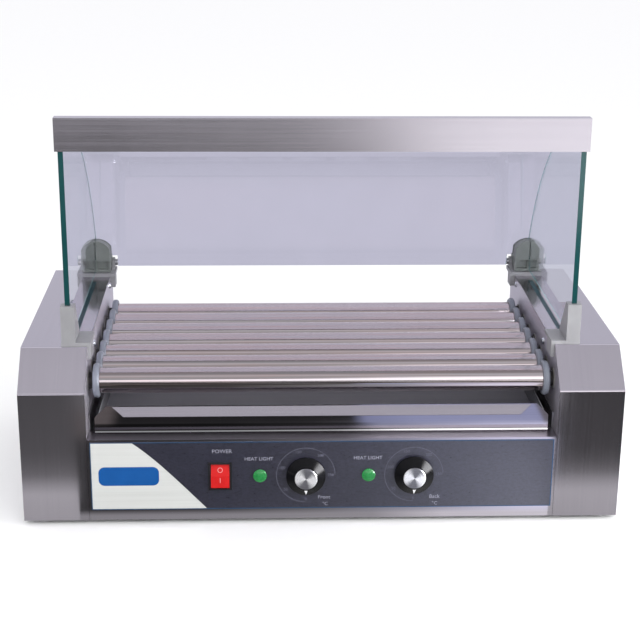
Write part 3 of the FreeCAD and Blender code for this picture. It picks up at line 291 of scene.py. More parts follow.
def pane(name, clear, front_edge, edge, is_edge):
    """Glass that lets lamps through, with solid-looking green edges and faint cleaning smears.

    front_edge is the colour of the edges that face the front, and edge that of the others.
    """
    finish = Finish(name, Metallic=0.0, Roughness=0.0, IOR=1.5, Transmission_Weight=1.0)
    smear = finish.noise(finish.scaled(finish.point, (1.0, 1.0, 0.35)), 22, 4.0, 0.6)
    finish.set(Base_Color=finish.mix(finish.spread(smear), tint(clear, 0.985), tint(clear, 1.01)))
    shadow = finish.add("ShaderNodeBsdfTransparent")
    finish.feed(shadow.inputs[0], clear)
    path = finish.add("ShaderNodeLightPath")
    clear_glass = finish.mix_shaders(path.outputs["Is Shadow Ray"], finish.shader.outputs[0],
                                     shadow.outputs[0])
    ripple = finish.noise(finish.point, 300, 2.0, 0.5)
    _, ny, _ = finish.split(finish.normal)
    # painted light and shade on the edges: those facing the front are dark, the others bright; the
    # teal is the glass's own edge colour
    shade = finish.mix(finish.below(ny, -0.5), edge, front_edge)
    rim = finish.add("ShaderNodeBsdfPrincipled")
    finish.feed(rim.inputs["Base Color"],
                finish.mix(finish.spread(ripple, 0.0, 0.3), shade, front_edge))
    finish.feed(rim.inputs["Roughness"], finish.spread(ripple, 0.08, 0.16))
    rim.inputs["IOR"].default_value = 1.5
    finish.feed(finish.output.inputs[0],
                finish.mix_shaders(is_edge(finish), clear_glass, rim.outputs[0]))
    return finish.material


# ---------------------------------------------------------------- finishes of single pieces


STEEL = (0.43, 0.405, 0.45)
PLATE_DEPTH = 9.4 * MM    # from the pull's lip to just behind the tray's front plate
ROLLER_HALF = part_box("roller_1_end_discs")[1].x + 0.2 * MM
CONTROL_Z = (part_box("heat_lamp_lenses")[0].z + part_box("heat_lamp_lenses")[1].z) / 2
KNOBS = {zone: (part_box(zone + "_knob")[0].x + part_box(zone + "_knob")[1].x) / 2
         for zone in ("front_zone", "back_zone")}


def turned_steel(name, colour, rough=0.08):
    """Roller tube: turned rings, long faint heat tints, and painted shade on the journals past its
    ends.
    """
    finish = Finish(name, Metallic=1.0)
    rings = finish.noise(finish.scaled(finish.point, (1.0, 0.05, 0.05)), 1500, 2.0, 0.6)
    streak = finish.noise(finish.scaled(finish.point, (0.02, 1.0, 1.0)), 260, 3.0, 0.6)
    stain = finish.noise(finish.point, 26, 4.0, 0.6)
    warm = (colour[0] * 1.04, colour[1] * 0.93, colour[2] * 0.90)
    heat = finish.mix(finish.remap(streak, 0.42, 0.62, 0.0, 1.0), colour, warm)
    dull = finish.mix(finish.remap(stain, 0.35, 0.7, 0.0, 0.3), heat, tint(colour, 0.88))
    x, _, _ = finish.split(finish.point)
    journal_in_shade = finish.above(finish.math("ABSOLUTE", x), ROLLER_HALF)
    polish = finish.math("ADD", finish.around(rings, rough, 0.015),
                         finish.spread(stain, -0.01, 0.02))
    # painted shade: the journals past the rollers' ends are painted near black
    finish.set(Base_Color=finish.mix(journal_in_shade, dull, (0.05, 0.047, 0.045)),
               Roughness=finish.mix_values(journal_in_shade, polish, 0.5))
    return finish.bumped(rings, 0.000002, 0.05)


def tray_sheet(name):
    """Polished front plate and satin pull; the pan behind them is matt from washing."""
    finish = Finish(name)
    grain = finish.noise(finish.scaled(finish.point, (ALONG, 1.0, 1.0)), 1500, 3.0, 0.6)
    smear = finish.noise(finish.point, 9, 3.0, 0.55)
    streaks = finish.spread(grain)
    x, y, z = finish.split(finish.point)
    nx, ny, _ = finish.split(finish.normal)

    # where: the pan's inside, its two side walls, the pull, and the front plate's foot,
    # painted darker on the left as a painted reflection
    not_front = finish.above(ny, -0.9)
    pan = finish.math("MULTIPLY", not_front,
                      finish.above(y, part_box("drip_tray")[0].y + PLATE_DEPTH))
    wall = finish.above(finish.math("ABSOLUTE", nx), FACING)
    foot = finish.math("MULTIPLY", finish.remap(z, 98 * MM, 100 * MM, 1.0, 0.0, smooth=True),
                       finish.remap(x, 20 * MM, 60 * MM, 1.0, 0.0, smooth=True))

    def steel(low, high):
        return finish.mix(streaks, tint(STEEL, low), tint(STEEL, high))

    # painted reflection and highlight: the plate's foot is painted dark and the pull is painted
    # bright
    front = finish.mix(not_front, finish.mix(foot, steel(0.95, 1.05), steel(0.22, 0.28)),
                       steel(1.30, 1.42))
    matt = finish.mix(streaks, (0.44, 0.44, 0.47), (0.54, 0.54, 0.58))
    # painted shade: the pan's side walls are painted dark
    wall_shade = finish.mix(streaks, (0.14, 0.14, 0.15), (0.18, 0.18, 0.20))
    front_rough = finish.mix_values(not_front, finish.spread(smear, 0.04, 0.08), 0.24)
    finish.set(
        Base_Color=finish.mix(pan, front, finish.mix(wall, matt, wall_shade)),
        Metallic=finish.mix_values(pan, 1.0, 0.25),
        Roughness=finish.mix_values(pan, front_rough, finish.spread(grain, 0.42, 0.58)),
    )
    return finish.bumped(grain, 0.000005, 0.15)


def bead_sheet(name):
    """The tray's rolled bead, with a painted reflection: dark on the left, bright on the right."""
    finish = Finish(name, Metallic=1.0)
    grain = finish.noise(finish.scaled(finish.point, (ALONG, 1.0, 1.0)), 1500, 3.0, 0.6)
    x, _, _ = finish.split(finish.point)
    to_right = finish.remap(x, 0.0, 120 * MM, 0.0, 1.0, smooth=True)
    # painted reflection: the colour goes from dark on the left to bright on the right
    finish.set(
        Base_Color=finish.mix(to_right, finish.spread(grain, 0.13, 0.17),
                              finish.spread(grain, 0.62, 0.72)),
        Roughness=finish.spread(grain, 0.08, 0.14),
    )
    return finish.bumped(grain, 0.000005, 0.15)


def overlay_film(name):
    """Dark printed film: satin surface with a fine speckled weave."""
    finish = Finish(name, Metallic=0.0, IOR=1.85)
    speck = finish.noise(finish.point, 1400, 2.0, 0.7)
    cloth = finish.noise(finish.scaled(finish.point, (0.5, 1.0, 1.0)), 620, 2.0, 0.6)
    weave = finish.weigh(0.6, speck, cloth)
    finish.set(
        Base_Color=finish.mix(finish.remap(weave, 0.35, 0.65, 0.0, 1.0),
                              (0.001, 0.001, 0.007), (0.026, 0.026, 0.050)),
        Roughness=finish.spread(weave, 0.26, 0.38),
    )
    return finish.bumped(weave, 0.00002, 0.25)


def spun_cap(name, centre_x):
    """Spun aluminium disc: fine turned circles, and a painted reflection: the bow tie that they
    throw.
    """
    darkest = 1.35    # radians round the disc, at which the bow tie is darkest
    finish = Finish(name, Metallic=0.65)
    x, _, z = finish.split(finish.point)
    dx = finish.math("SUBTRACT", x, centre_x)
    dz = finish.math("SUBTRACT", z, CONTROL_Z)
    reach = finish.math("SQRT", finish.math("ADD", finish.math("MULTIPLY", dx, dx),
                                            finish.math("MULTIPLY", dz, dz)))
    angle = finish.math("ARCTAN2", dz, dx)
    circles = finish.noise(finish.join(reach, 0.0, finish.math("MULTIPLY", angle, 0.0002)),
                           5200, 2.0, 0.6)
    # the bow tie is a painted reflection, bright and dark by angle round the disc
    twice = finish.math("MULTIPLY", angle, 2.0)
    bow = finish.math("COSINE", finish.math("ADD", twice, -2 * darkest))
    share = finish.math("ADD", finish.math("MULTIPLY", bow, -0.75),
                        finish.spread(circles, 0.3, 0.7))
    finish.set(Base_Color=finish.mix(finish.remap(share, 0.0, 1.0, 0.0, 1.0),
                                     (0.16, 0.16, 0.18), (0.86, 0.86, 0.88)),
               Roughness=finish.spread(circles, 0.24, 0.38))
    return finish.bumped(circles, 0.00002, 0.4)


def lamp_lens(name):
    """Green lens with a moulded ripple and a soft glow from behind."""
    finish = Finish(name, Transmission_Weight=0.25, IOR=1.49,
                    Emission_Color=(0.03, 0.42, 0.09), Emission_Strength=0.05)
    ripple = finish.noise(finish.point, 520, 2.0, 0.5)
    finish.set(Base_Color=finish.mix(ripple, (0.010, 0.17, 0.040), (0.030, 0.30, 0.075)),
               Roughness=finish.spread(ripple, 0.12, 0.26))
    return finish.bumped(ripple, 0.0004, 0.6)


# One finish for each of the record's material slots. Housing steel has a finish for each way
# that its sheets are folded and polished, in NODE_FINISHES below.
SLOT_FINISHES = {
    "chassis_steel": plain_metal("chassis_steel", (0.42, 0.42, 0.43), 0.38, 240),
    "roller_steel": turned_steel("roller_steel", (0.475, 0.438, 0.452)),
    "end_disc_ptfe": moulded("end_disc_ptfe", (0.18, 0.195, 0.235), 0.42, 900),
    "bush_ptfe": moulded("bush_ptfe", (0.22, 0.21, 0.20), 0.5, 900),
    "heater_tube": plain_metal("heater_tube", (0.16, 0.14, 0.13), 0.45, 800),
    "motor_paint": moulded("motor_paint", (0.04, 0.043, 0.05), 0.4, 700),
    "chain_steel": plain_metal("chain_steel", (0.28, 0.26, 0.23), 0.3, 900),
    "switch_black": moulded("switch_black", (0.012, 0.012, 0.014), 0.30, 2200),
    "rocker_red": moulded("rocker_red", (0.48, 0.010, 0.010), 0.3, 1500,
                          Specular_IOR_Level=0.15),
    "lamp_green": lamp_lens("lamp_green"),
    "lamp_body_plastic": moulded("lamp_body_plastic", (0.05, 0.05, 0.05), 0.5),
    "knob_black": moulded("knob_black", (0.004, 0.004, 0.005), 0.16, 2600, 0.000005,
                          Specular_IOR_Level=0.14),
    "shaft_steel": plain_metal("shaft_steel", (0.5, 0.5, 0.5), 0.3, 900),
    "overlay_film": overlay_film("overlay_film"),
    "fitting_alloy": moulded("fitting_alloy", (0.25, 0.25, 0.26), 0.42, 900, 0.00004),
    "pin_steel": plain_metal("pin_steel", (0.38, 0.38, 0.40), 0.32, 900),
    "screw_steel": plain_metal("screw_steel", (0.62, 0.64, 0.68), 0.22, 900),
    "side_pane_glass": pane("side_pane_glass", (0.80, 0.82, 0.86), (0.006, 0.050, 0.052),
                            (0.16, 0.42, 0.42), side_edges),
    "curved_pane_glass": pane("curved_pane_glass", (0.82, 0.81, 0.88), (0.14, 0.38, 0.39),
                              (0.16, 0.42, 0.42), end_edges),
    "foot_rubber": moulded("foot_rubber", (0.018, 0.018, 0.018), 0.65, 1200),
    "thermostat_case": plain_metal("thermostat_case", (0.50, 0.50, 0.46), 0.35, 500),
    "terminal_ceramic": moulded("terminal_ceramic", (0.72, 0.70, 0.64), 0.25, 600),
    "gland_plastic": moulded("gland_plastic", (0.02, 0.02, 0.02), 0.45, 1200),
}

# the covers' front slopes get a painted highlight
folded_steel = brushed("housing_steel_folded", STEEL, "fold", 0.13, slope_highlight=1.85)
long_steel = brushed("housing_steel_long", STEEL, "x", 0.10, 0.05, level_rough=0.34)
band_steel = brushed("housing_steel_band", STEEL, "x", 0.17, 0.04, 0.02)
# the inner side plates: a lighter, less metallic copy of the housing steel, painted light in their
# shade
lightened_plate_steel = brushed("housing_steel_plate", tint(STEEL, 1.25), "fold", 0.40, metallic=0.75)
# the glass clamps: a darker, greener copy of the fitting alloy, painted shade tinted like the glass
# in front of them
shaded_alloy = moulded("fitting_alloy_shaded", (0.15, 0.165, 0.155), 0.42, 900, 0.00004)
bead_steel = bead_sheet("housing_steel_bead")
NODE_FINISHES = {
    "left_housing_cover": folded_steel, "right_housing_cover": folded_steel,
    "left_inner_side_plate": lightened_plate_steel, "right_inner_side_plate": lightened_plate_steel,
    "control_panel": long_steel, "rear_panel": long_steel,
    "drip_tray": tray_sheet("housing_steel_tray"), "hood_top_band": band_steel,
    "left_glass_clamp": shaded_alloy, "right_glass_clamp": shaded_alloy,
    "front_zone_knob_cap": spun_cap("knob_cap_front", KNOBS["front_zone"]),
    "back_zone_knob_cap": spun_cap("knob_cap_back", KNOBS["back_zone"]),
}


def paint(obj, material):
    obj.data.materials.clear()
    obj.data.materials.append(material)


for name, obj in nodes.items():
    paint(obj, NODE_FINISHES.get(name) or SLOT_FINISHES[slot_of[name]])


# ---------------------------------------------------------------- helpers for new pieces


def add_object(name, bm, material):
    """Turns a bmesh into an object in the scene, with one material."""
    mesh = bpy.data.meshes.new(name)
    bm.to_mesh(mesh)
    bm.free()
    obj = bpy.data.objects.new(name, mesh)
    scene.collection.objects.link(obj)
    paint(obj, material)
    return obj


def add_piece(name, bm, body, material):
    obj = add_object(name, bm, material)
    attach(obj, body)


def prisms(name, loops, lift, body, material):
    """Closed solids, each between a flat loop of points and the same loop moved by lift."""
    bm = bmesh.new()
    for loop in loops:
        lower = [bm.verts.new(point) for point in loop]
        upper = [bm.verts.new(Vector(point) + lift) for point in loop]
        bm.faces.new(lower)
        bm.faces.new(upper[::-1])
        for index in range(len(loop)):
            after = (index + 1) % len(loop)
            bm.faces.new((lower[index], upper[index], upper[after], lower[after]))
    bmesh.ops.recalc_face_normals(bm, faces=bm.faces)
    add_piece(name, bm, body, material)


def ring_points(outer, inner, first, last, steps):
    """A closed outline round an arc: its outer side, then back along its inner side."""
    outline = []
    for radius, order in ((outer, range(steps + 1)), (inner, range(steps, -1, -1))):
        for index in order:
            angle = first + (last - first) * index / steps
            outline.append((radius * math.cos(angle), radius * math.sin(angle)))
    return outline


# ---------------------------------------------------------------- printed panel


INK = 0.04 * MM    # thickness of a printed layer
FILM_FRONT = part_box("panel_overlay")[0].y

ink_pale = moulded("ink_pale", (0.27, 0.27, 0.33), 0.45, 1800)
ink_dim = moulded("ink_dim", (0.11, 0.11, 0.15), 0.45, 1800)
ink_edge = moulded("ink_edge", (0.008, 0.045, 0.11), 0.35, 1800)
ink_blue = moulded("ink_blue", (0.003, 0.070, 0.26), 0.40, 1800, Specular_IOR_Level=0.15)
ink_white = moulded("ink_white", (0.85, 0.85, 0.86), 0.4, 1800)
ink_mark = moulded("ink_mark", (0.62, 0.26, 0.26), 0.4, 1800)
foil = brushed("printed_foil", (0.56, 0.57, 0.55), "x", 0.40, 0.10, metallic=0.12)


def printed(name, loops, material, under=0.0):
    """Flat shapes on the film, given as loops of (x, z); under is the ink that they lie on."""
    front = FILM_FRONT - under
    prisms(name, [[(x, front, z) for x, z in loop] for loop in loops], Vector((0, -INK, 0)),
           "chassis", material)


def lettering(name, words, material):
    """Words set flat on the film: each is (text, x, z, height), centred there."""
    bm = bmesh.new()
    for text, x, z, height in words:
        curve = bpy.data.curves.new(name + "_text", "FONT")
        curve.body = text
        curve.size = height
        curve.align_x = "CENTER"
        curve.align_y = "CENTER"
        curve.extrude = INK / 2
        curve.resolution_u = 3
        holder = bpy.data.objects.new(name + "_text", curve)
        scene.collection.objects.link(holder)
        bpy.context.view_layer.update()
        mesh = bpy.data.meshes.new_from_object(
            holder.evaluated_get(bpy.context.evaluated_depsgraph_get()))
        mesh.transform(Matrix.Translation((x, FILM_FRONT - INK / 2, z))
                       @ Matrix.Rotation(math.pi / 2, 4, "X"))
        bm.from_mesh(mesh)
        bpy.data.objects.remove(holder)
        bpy.data.meshes.remove(mesh)
    add_piece(name, bm, "chassis", material)


def bezier(points, steps):
    """Points on one cubic Bezier curve."""
    made = []
    for index in range(steps + 1):
        t = index / steps
        weights = ((1 - t) ** 3, 3 * t * (1 - t) ** 2, 3 * t * t * (1 - t), t ** 3)
        made.append(tuple(sum(w * p[axis] for w, p in zip(weights, points)) for axis in (0, 1)))
    return made


def rectangle(x0, x1, z0, z1):
    return [(x0, z0), (x1, z0), (x1, z1), (x0, z1)]


def rounded(x0, x1, z0, z1, radius, steps=8):
    """A rectangle with rounded corners, as (x, z) points."""
    points = []
    corners = ((x1 - radius, z1 - radius, 0), (x0 + radius, z1 - radius, 90),
               (x0 + radius, z0 + radius, 180), (x1 - radius, z0 + radius, 270))
    for x, z, start in corners:
        for index in range(steps + 1):
            angle = math.radians(start + 90 * index / steps)
            points.append((x + radius * math.cos(angle), z + radius * math.sin(angle)))
    return points


def print_background():
    """The thin border, and the silver corner whose right side sweeps down in a curve."""
    low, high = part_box("panel_overlay")
    edge = 0.9 * MM
    left, right, bottom, top = low.x + edge, high.x - edge, low.z + edge, high.z - edge
    printed("panel_border_print", [
        rectangle(low.x, high.x, low.z, bottom), rectangle(low.x, high.x, top, high.z),
        rectangle(low.x, left, bottom, top), rectangle(right, high.x, bottom, top),
    ], ink_edge)
    sweep = bezier([(-0.1835, top), (-0.1610, 0.0690), (-0.1440, 0.0500), (-0.1128, bottom)], 28)
    printed("panel_foil_print", [[(left, bottom), (left, top)] + sweep], foil)


def print_dials():
    """Each knob's arc, from 0 at the foot clockwise round to 250, and the panel's few words."""
    across, up = 24.1 * MM, 25.4 * MM    # the wide numbers stand on a slightly narrow ring
    for zone, x in KNOBS.items():
        arc = ring_points(28.6 * MM, 28.2 * MM, 0.0, math.radians(270), 90)
        printed(zone + "_dial_arc", [[(x + dx, CONTROL_Z + dz) for dx, dz in arc]], ink_dim)
        numbers = []
        for step in range(6):
            angle = math.radians(270 - 54 * step)
            numbers.append((str(50 * step), x + across * math.cos(angle),
                            CONTROL_Z + up * math.sin(angle), 4.2 * MM))
        lettering(zone + "_dial_numbers", numbers, ink_dim)
    lettering("panel_labels", [
        ("POWER", -0.0975, 0.0765, 5.6 * MM), ("HEAT LIGHT", -0.0620, 0.0684, 5.0 * MM),
        ("HEAT LIGHT", 0.0435, 0.0687, 5.0 * MM)], ink_pale)
    lettering("zone_labels", [
        ("Front", 0.0012, 0.0276, 5.4 * MM), ("°C", 0.0024, 0.0204, 5.0 * MM),
        ("Back", 0.1092, 0.0272, 5.4 * MM), ("°C", 0.1096, 0.0200, 5.0 * MM)], ink_pale)


print_background()
print_dials()
printed("panel_plaque_print", [rounded(-0.2165, -0.1583, 0.0415, 0.0610, 0.006)], ink_blue,
        under=INK)


# ---------------------------------------------------------------- pointers, rocker marks, tray bead


def make_pointers():
    """A white wedge on each knob's sloping face, pointing down at the dial."""
    seat = -147.5 * MM                             # where the knob's foot stands
    inner, outer = 12.7 * MM, 18.6 * MM            # the sloping face's reach from the axis
    inner_rise, outer_rise = 9.1 * MM, 4.8 * MM    # and its height over the foot there
    half_width, sunk, thickness = 1.5 * MM, 0.2 * MM, 0.45 * MM
    out = Vector((0, -(outer - inner), -(inner_rise - outer_rise))).normalized()
    for zone, x in KNOBS.items():
        corners = ((x - half_width, inner_rise, inner), (x + half_width, inner_rise, inner),
                   (x, outer_rise, outer))
        base = [Vector((across, seat - rise, CONTROL_Z - reach)) - out * sunk
                for across, rise, reach in corners]
        prisms(zone + "_pointer", [base], out * thickness, zone + "_control", ink_white)


def make_rocker_marks():
    """The open ring and the bar that stand on the two halves of the rocker."""
    centre = Vector((-99.4, -146.3, 51)) * MM
    ridge, end, reach = 5.0 * MM, 3.3 * MM, 11.85 * MM
    tilt = Matrix.Rotation(math.radians(-10), 3, "X")
    proud, sunk = 0.12 * MM, 0.05 * MM

    def out_of(v):
        """The way out of the rocker's face on the upper half (v over 0) or the lower one."""
        return Vector((0, -reach, math.copysign(ridge - end, v))).normalized()

    def face_point(u, v):
        """A point just under the face, u across and v up from the rocker's middle."""
        depth = -(ridge + (end - ridge) * abs(v) / reach)
        return centre + tilt @ (Vector((u, depth, v)) - out_of(v) * sunk)

    def mark(name, outline, side):
        prisms(name, [[face_point(u * MM, v * MM) for u, v in outline]],
               tilt @ out_of(side) * (proud + sunk), "rocker", ink_mark)

    # the ring starts at its top and stops just short of a full turn, so that it stays one loop
    ring = ring_points(2.5, 1.95, 0.0, math.tau * 0.998, 24)
    mark("rocker_off_mark", [(dz, 6 + dx) for dx, dz in ring], 1)
    mark("rocker_on_mark", [(-0.3, -1.8), (0.3, -1.8), (0.3, -6.8), (-0.3, -6.8)], -1)


def make_tray_bead():
    """The rolled bead along the foot of the tray's front plate, with its front pressed flat."""
    low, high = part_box("drip_tray")
    radius, steps = 1.5 * MM, 20
    flat = 0.82 * radius
    tilt = math.radians(-16)
    plate_front = -131.5 * MM
    centre_y, centre_z = plate_front - 0.6 * MM, low.z + 2.0 * MM
    bm = bmesh.new()
    rings = []
    for x in (low.x + 0.3 * MM, high.x - 0.3 * MM):
        ring = []
        for index in range(steps):
            angle = math.tau * index / steps
            out = min(radius * math.cos(angle), flat)
            up = radius * math.sin(angle)
            ring.append(bm.verts.new((x, centre_y - out * math.cos(tilt) - up * math.sin(tilt),
                                      centre_z - out * math.sin(tilt) + up * math.cos(tilt))))
        rings.append(ring)
    left, right = rings
    for index in range(steps):
        after = (index + 1) % steps
        face = bm.faces.new((left[index], left[after], right[after], right[index]))
        face.smooth = True
    for cap in (bm.faces.new(left[::-1]), bm.faces.new(right)):
        for edge in cap.edges:
            edge.smooth = False
    bmesh.ops.recalc_face_normals(bm, faces=bm.faces)
    add_piece("tray_hem_roll", bm, "tray", bead_steel)


make_pointers()
make_rocker_marks()
make_tray_bead()


# ---------------------------------------------------------------- camera


def make_camera():
    data = bpy.data.cameras.new("camera")
    camera = bpy.data.objects.new("camera", data)
    scene.collection.objects.link(camera)
    data.sensor_width = 36.0
    data.lens = 83.4
    data.clip_start, data.clip_end = 0.05, 60
    yaw, pitch, roll = math.radians(2.45), math.radians(18.33), math.radians(-0.51)
    turn = (Matrix.Rotation(-yaw, 3, "Z") @ Matrix.Rotation(math.pi / 2 - pitch, 3, "X")
            @ Matrix.Rotation(-roll, 3, "Z"))
    camera.matrix_world = Matrix.Translation((-0.0605, -1.4641, 0.6458)) @ turn.to_4x4()
    scene.camera = camera


# ---------------------------------------------------------------- what the steel mirrors
#
# Polished steel shows its studio more than itself. These cards lie on the floor or stand far
# off, only reflections see them, and each is bright where the steel that mirrors it is bright.


PANEL_FRONT_Y = -0.1475


def near_light(finish):
    """The floor close in front: pale at the object's feet, dark further out."""
    x, y, _ = finish.split(finish.point)
    ahead = finish.math("SUBTRACT", PANEL_FRONT_Y, y)

    def fade(low, high):
        """From 0 to 1 between two distances ahead."""
        return finish.remap(ahead, low, high, 0.0, 1.0)

    # what the middle parts mirror, from the foot of the panel up to the bead on the tray
    foot = finish.ramp(x, [(-0.25, 0.50), (-0.05, 0.54), (0.05, 0.62), (0.12, 1.2), (0.3, 1.4)])
    panel = finish.ramp(x, [
        (-0.25, 0.07), (-0.1, 0.10), (0.0, 0.28), (0.1, (0.60, 0.62, 0.70)),
        (0.2, (1.35, 1.38, 1.60)), (0.3, (1.60, 1.64, 1.90))])
    plate = finish.ramp(x, [
        (-0.26, (0.22, 0.20, 0.19)), (-0.235, (0.20, 0.18, 0.17)), (-0.222, 0.028),
        (0.045, 0.035), (0.062, (0.45, 0.50, 0.75)), (0.12, (0.56, 0.62, 0.90)),
        (0.263, (0.58, 0.63, 0.90)), (0.267, (0.30, 0.29, 0.32)), (0.3, (0.14, 0.13, 0.14))])
    bead = finish.ramp(x, [(-0.3, 0.26), (0.05, 0.32), (0.15, 0.85), (0.3, 0.9)])
    middle = finish.mix(fade(0.016, 0.028), foot, panel)
    middle = finish.mix(fade(0.207, 0.222), middle, plate)
    middle = finish.mix(fade(0.297, 0.305), middle, bead)

    # what the two covers' front faces mirror
    left_cover = finish.ramp(ahead, [
        (0.0, 0.70), (0.044, 0.76), (0.066, 0.80), (0.090, 0.55), (0.112, 0.29),
        (0.14, 0.22), (0.17, 0.17), (0.28, 0.15), (0.42, 0.14)])
    right_cover = finish.ramp(ahead, [
        (0.0, 0.76), (0.066, 0.82), (0.090, 0.60), (0.112, 0.28),
        (0.14, 0.16), (0.17, 0.11), (0.42, 0.09)])
    covers = finish.mix(finish.remap(x, 0.2, 0.3, 0.0, 1.0), left_cover, right_cover)

    # the two lines between them on the floor lean outwards as they go ahead
    left = finish.below(finish.math("ADD", x, finish.math("MULTIPLY", ahead, 0.134)), -0.236)
    right = finish.above(finish.math("SUBTRACT", x, finish.math("MULTIPLY", ahead, 0.225)), 0.2215)
    return finish.mix(finish.math("ADD", left, right, clamp=True), middle, covers)


def far_light(finish):
    """Dark floor a metre ahead, then the part that the band over the hood's edge mirrors."""
    x, y, _ = finish.split(finish.point)
    band = finish.ramp(x, [(-0.6, 0.22), (-0.3, 0.24), (-0.1, 0.36), (0.10, 0.48),
                           (0.17, 0.62), (0.25, 1.35), (0.32, 1.80), (0.8, 2.05)])
    return finish.mix(finish.remap(y, -1.1, -1.3, 0.0, 1.0), (0.07, 0.068, 0.07), band)


def strip_light(finish):
    """The low strip box that draws the bright line along the front roller."""
    x, _, _ = finish.split(finish.point)
    return finish.ramp(x, [(-1.2, (1.4, 1.4, 1.5)), (0.0, (2.1, 2.1, 2.2)), (1.0, (2.8, 2.7, 2.7))])


def side_light(finish):
    """A hard bright card far to the right that rims the knobs."""
    _, _, z = finish.split(finish.point)
    return finish.ramp(z, [(0.0, (26, 26, 27)), (0.7, (20, 20, 21))])


def card(name, corners, paint_light):
    """A flat studio card that only reflections see; paint_light gives its glow at each point."""
    bm = bmesh.new()
    bm.faces.new([bm.verts.new(corner) for corner in corners])
    finish = Finish(name)
    light = finish.add("ShaderNodeEmission")
    finish.feed(light.inputs[0], paint_light(finish))
    finish.feed(finish.output.inputs[0], light.outputs[0])
    finish.tree.nodes.remove(finish.shader)
    obj = add_object(name, bm, finish.material)
    for ray in ("camera", "diffuse", "shadow", "transmission"):
        setattr(obj, "visible_" + ray, False)


def make_cards():
    floor = 2 * MM    # just over the floor
    near, join, far = -0.149, -0.56, -2.6
    card("near_card", [(-0.5, join, floor), (0.6, join, floor), (0.6, near, floor),
                       (-0.5, near, floor)], near_light)
    card("far_card", [(-1.6, far, floor), (1.8, far, floor), (1.8, join, floor),
                      (-1.6, join, floor)], far_light)
    card("strip_card", [(-2.0, far, 0.20), (2.2, far, 0.48), (2.2, far, 1.50),
                        (-2.0, far, 0.95)], strip_light)
    card("side_card", [(1.1, -0.95, floor), (1.1, -0.25, floor), (1.1, -0.25, 0.7),
                       (1.1, -0.95, 0.7)], side_light)


# ---------------------------------------------------------------- floor, sky and lamps


BACKDROP = (0.66, 0.66, 0.75)        # the floor seen through glass, or mirrored from behind
THROUGH_SKY = (1.04, 1.03, 1.10)     # the sky seen through glass
FLOOR_SIZE = 30.0
FLOOR_BACK = 6.0                     # how far the floor's centre is moved back
BEHIND = 0.17                        # just behind the object's back


def make_floor():
    """Pale paper. Through glass, and mirrored from behind the object, it is a lilac backdrop.

    So the panes look lilac while the floor beside them stays pale, and neither glass nor steel
    mirrors bright paper from behind the object.
    """
    floor = Finish("floor_paper", Roughness=0.9, Specular_IOR_Level=0.1)
    fibre = floor.noise(floor.point, 40, 3.0, 0.6)
    floor.set(Base_Color=floor.mix(fibre, (0.90, 0.90, 0.90), (0.92, 0.92, 0.92)))
    shade = floor.add("ShaderNodeEmission")
    floor.feed(shade.inputs[0], floor.mix(fibre, tint(BACKDROP, 0.99), tint(BACKDROP, 1.01)))
    path = floor.add("ShaderNodeLightPath")
    _, y, _ = floor.split(floor.point)
    mirrored = floor.math("MULTIPLY", path.outputs["Is Glossy Ray"],
                          floor.above(y, BEHIND - FLOOR_BACK))
    backdrop = floor.math("ADD", path.outputs["Is Transmission Ray"], mirrored, clamp=True)
    floor.feed(floor.output.inputs[0],
               floor.mix_shaders(backdrop, floor.shader.outputs[0], shade.outputs[0]))
    bm = bmesh.new()
    bmesh.ops.create_grid(bm, x_segments=1, y_segments=1, size=FLOOR_SIZE / 2)
    obj = add_object("floor", bm, floor.material)
    obj.location = (0, FLOOR_BACK, 0)


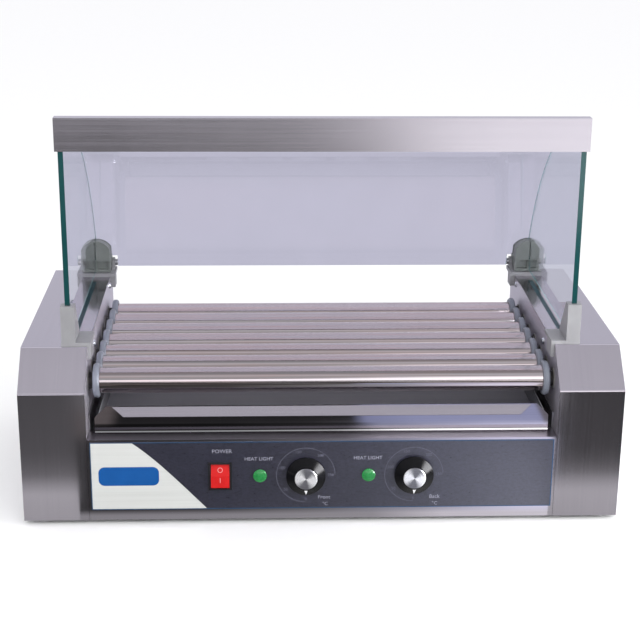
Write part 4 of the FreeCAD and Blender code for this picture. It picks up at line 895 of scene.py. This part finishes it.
def make_world():
    """An even pale sky for light; reflections see rows of studio lights at their own heights."""
    world = bpy.data.worlds.new("studio")
    scene.world = world
    world.use_nodes = True
    sky = Graph(world.node_tree)

    def background(colour):
        node = sky.add("ShaderNodeBackground")
        sky.feed(node.inputs[0], colour)
        return node.outputs[0]

    even = world.node_tree.nodes["Background"]
    even.inputs[0].default_value = (0.98, 0.98, 1.0, 1)
    even.inputs[1].default_value = 1.08

    # height is 0 at the horizon in front, half at the top, and 1 at the horizon behind
    x, y, z = sky.split(sky.add("ShaderNodeTexCoord").outputs["Generated"])
    height = sky.math("DIVIDE", sky.math("ARCTAN2", z, sky.math("MULTIPLY", y, -1)), math.pi)
    half_turn = 180
    levels = [(0, 0.05), (30, 0.62), (36, 0.66), (42, 0.58), (50, 0.90), (60, 0.72), (70, 0.46),
              (82, 0.40), (92, 0.52), (104, 0.70), (125, 0.82), (145, 0.84), (180, 0.80)]
    rows = sky.ramp(height, [(degrees / half_turn, (level, level, level * (1 + degrees / 1500)))
                             for degrees, level in levels])

    # a bright box in front on the right
    low_down = sky.remap(height, 26 / half_turn, 44 / half_turn, 1, 0, smooth=True)
    in_front = sky.above(height, 4 / half_turn)
    to_right = sky.remap(x, 0.03, 0.13, 0, 1, smooth=True)
    box = sky.math("MULTIPLY", sky.math("MULTIPLY", low_down, in_front), to_right)
    mirrored = background(sky.mix(box, rows, (2.0, 1.95, 2.0)))

    path = sky.add("ShaderNodeLightPath")
    lit = sky.mix_shaders(path.outputs["Is Glossy Ray"], even.outputs[0], mirrored)
    seen = sky.mix_shaders(path.outputs["Is Transmission Ray"], lit, background(THROUGH_SKY))
    sky.feed(world.node_tree.nodes["World Output"].inputs[0], seen)


def lamp(name, centre, target, size, power, mirrored):
    """A soft box that points at a target; mirrored says whether steel and glass show it."""
    data = bpy.data.lights.new(name, "AREA")
    data.shape = "RECTANGLE"
    data.size, data.size_y = size
    data.energy = power
    obj = bpy.data.objects.new(name, data)
    scene.collection.objects.link(obj)
    obj.location = centre
    obj.rotation_mode = "QUATERNION"
    obj.rotation_quaternion = (Vector(target) - Vector(centre)).to_track_quat("-Z", "Y")
    obj.visible_glossy = mirrored


def make_lamps():
    lamp("front_box", (0.0, -2.3, 1.9), (0, 0, 0.15), (3.6, 0.45), 30, False)
    lamp("right_box", (0.95, -0.62, 0.36), (0.05, -0.15, 0.06), (0.55, 0.6), 6, True)


make_camera()
make_floor()
make_cards()
make_world()
make_lamps()
scene.view_settings.view_transform = "Standard"
scene.view_settings.look = "None"
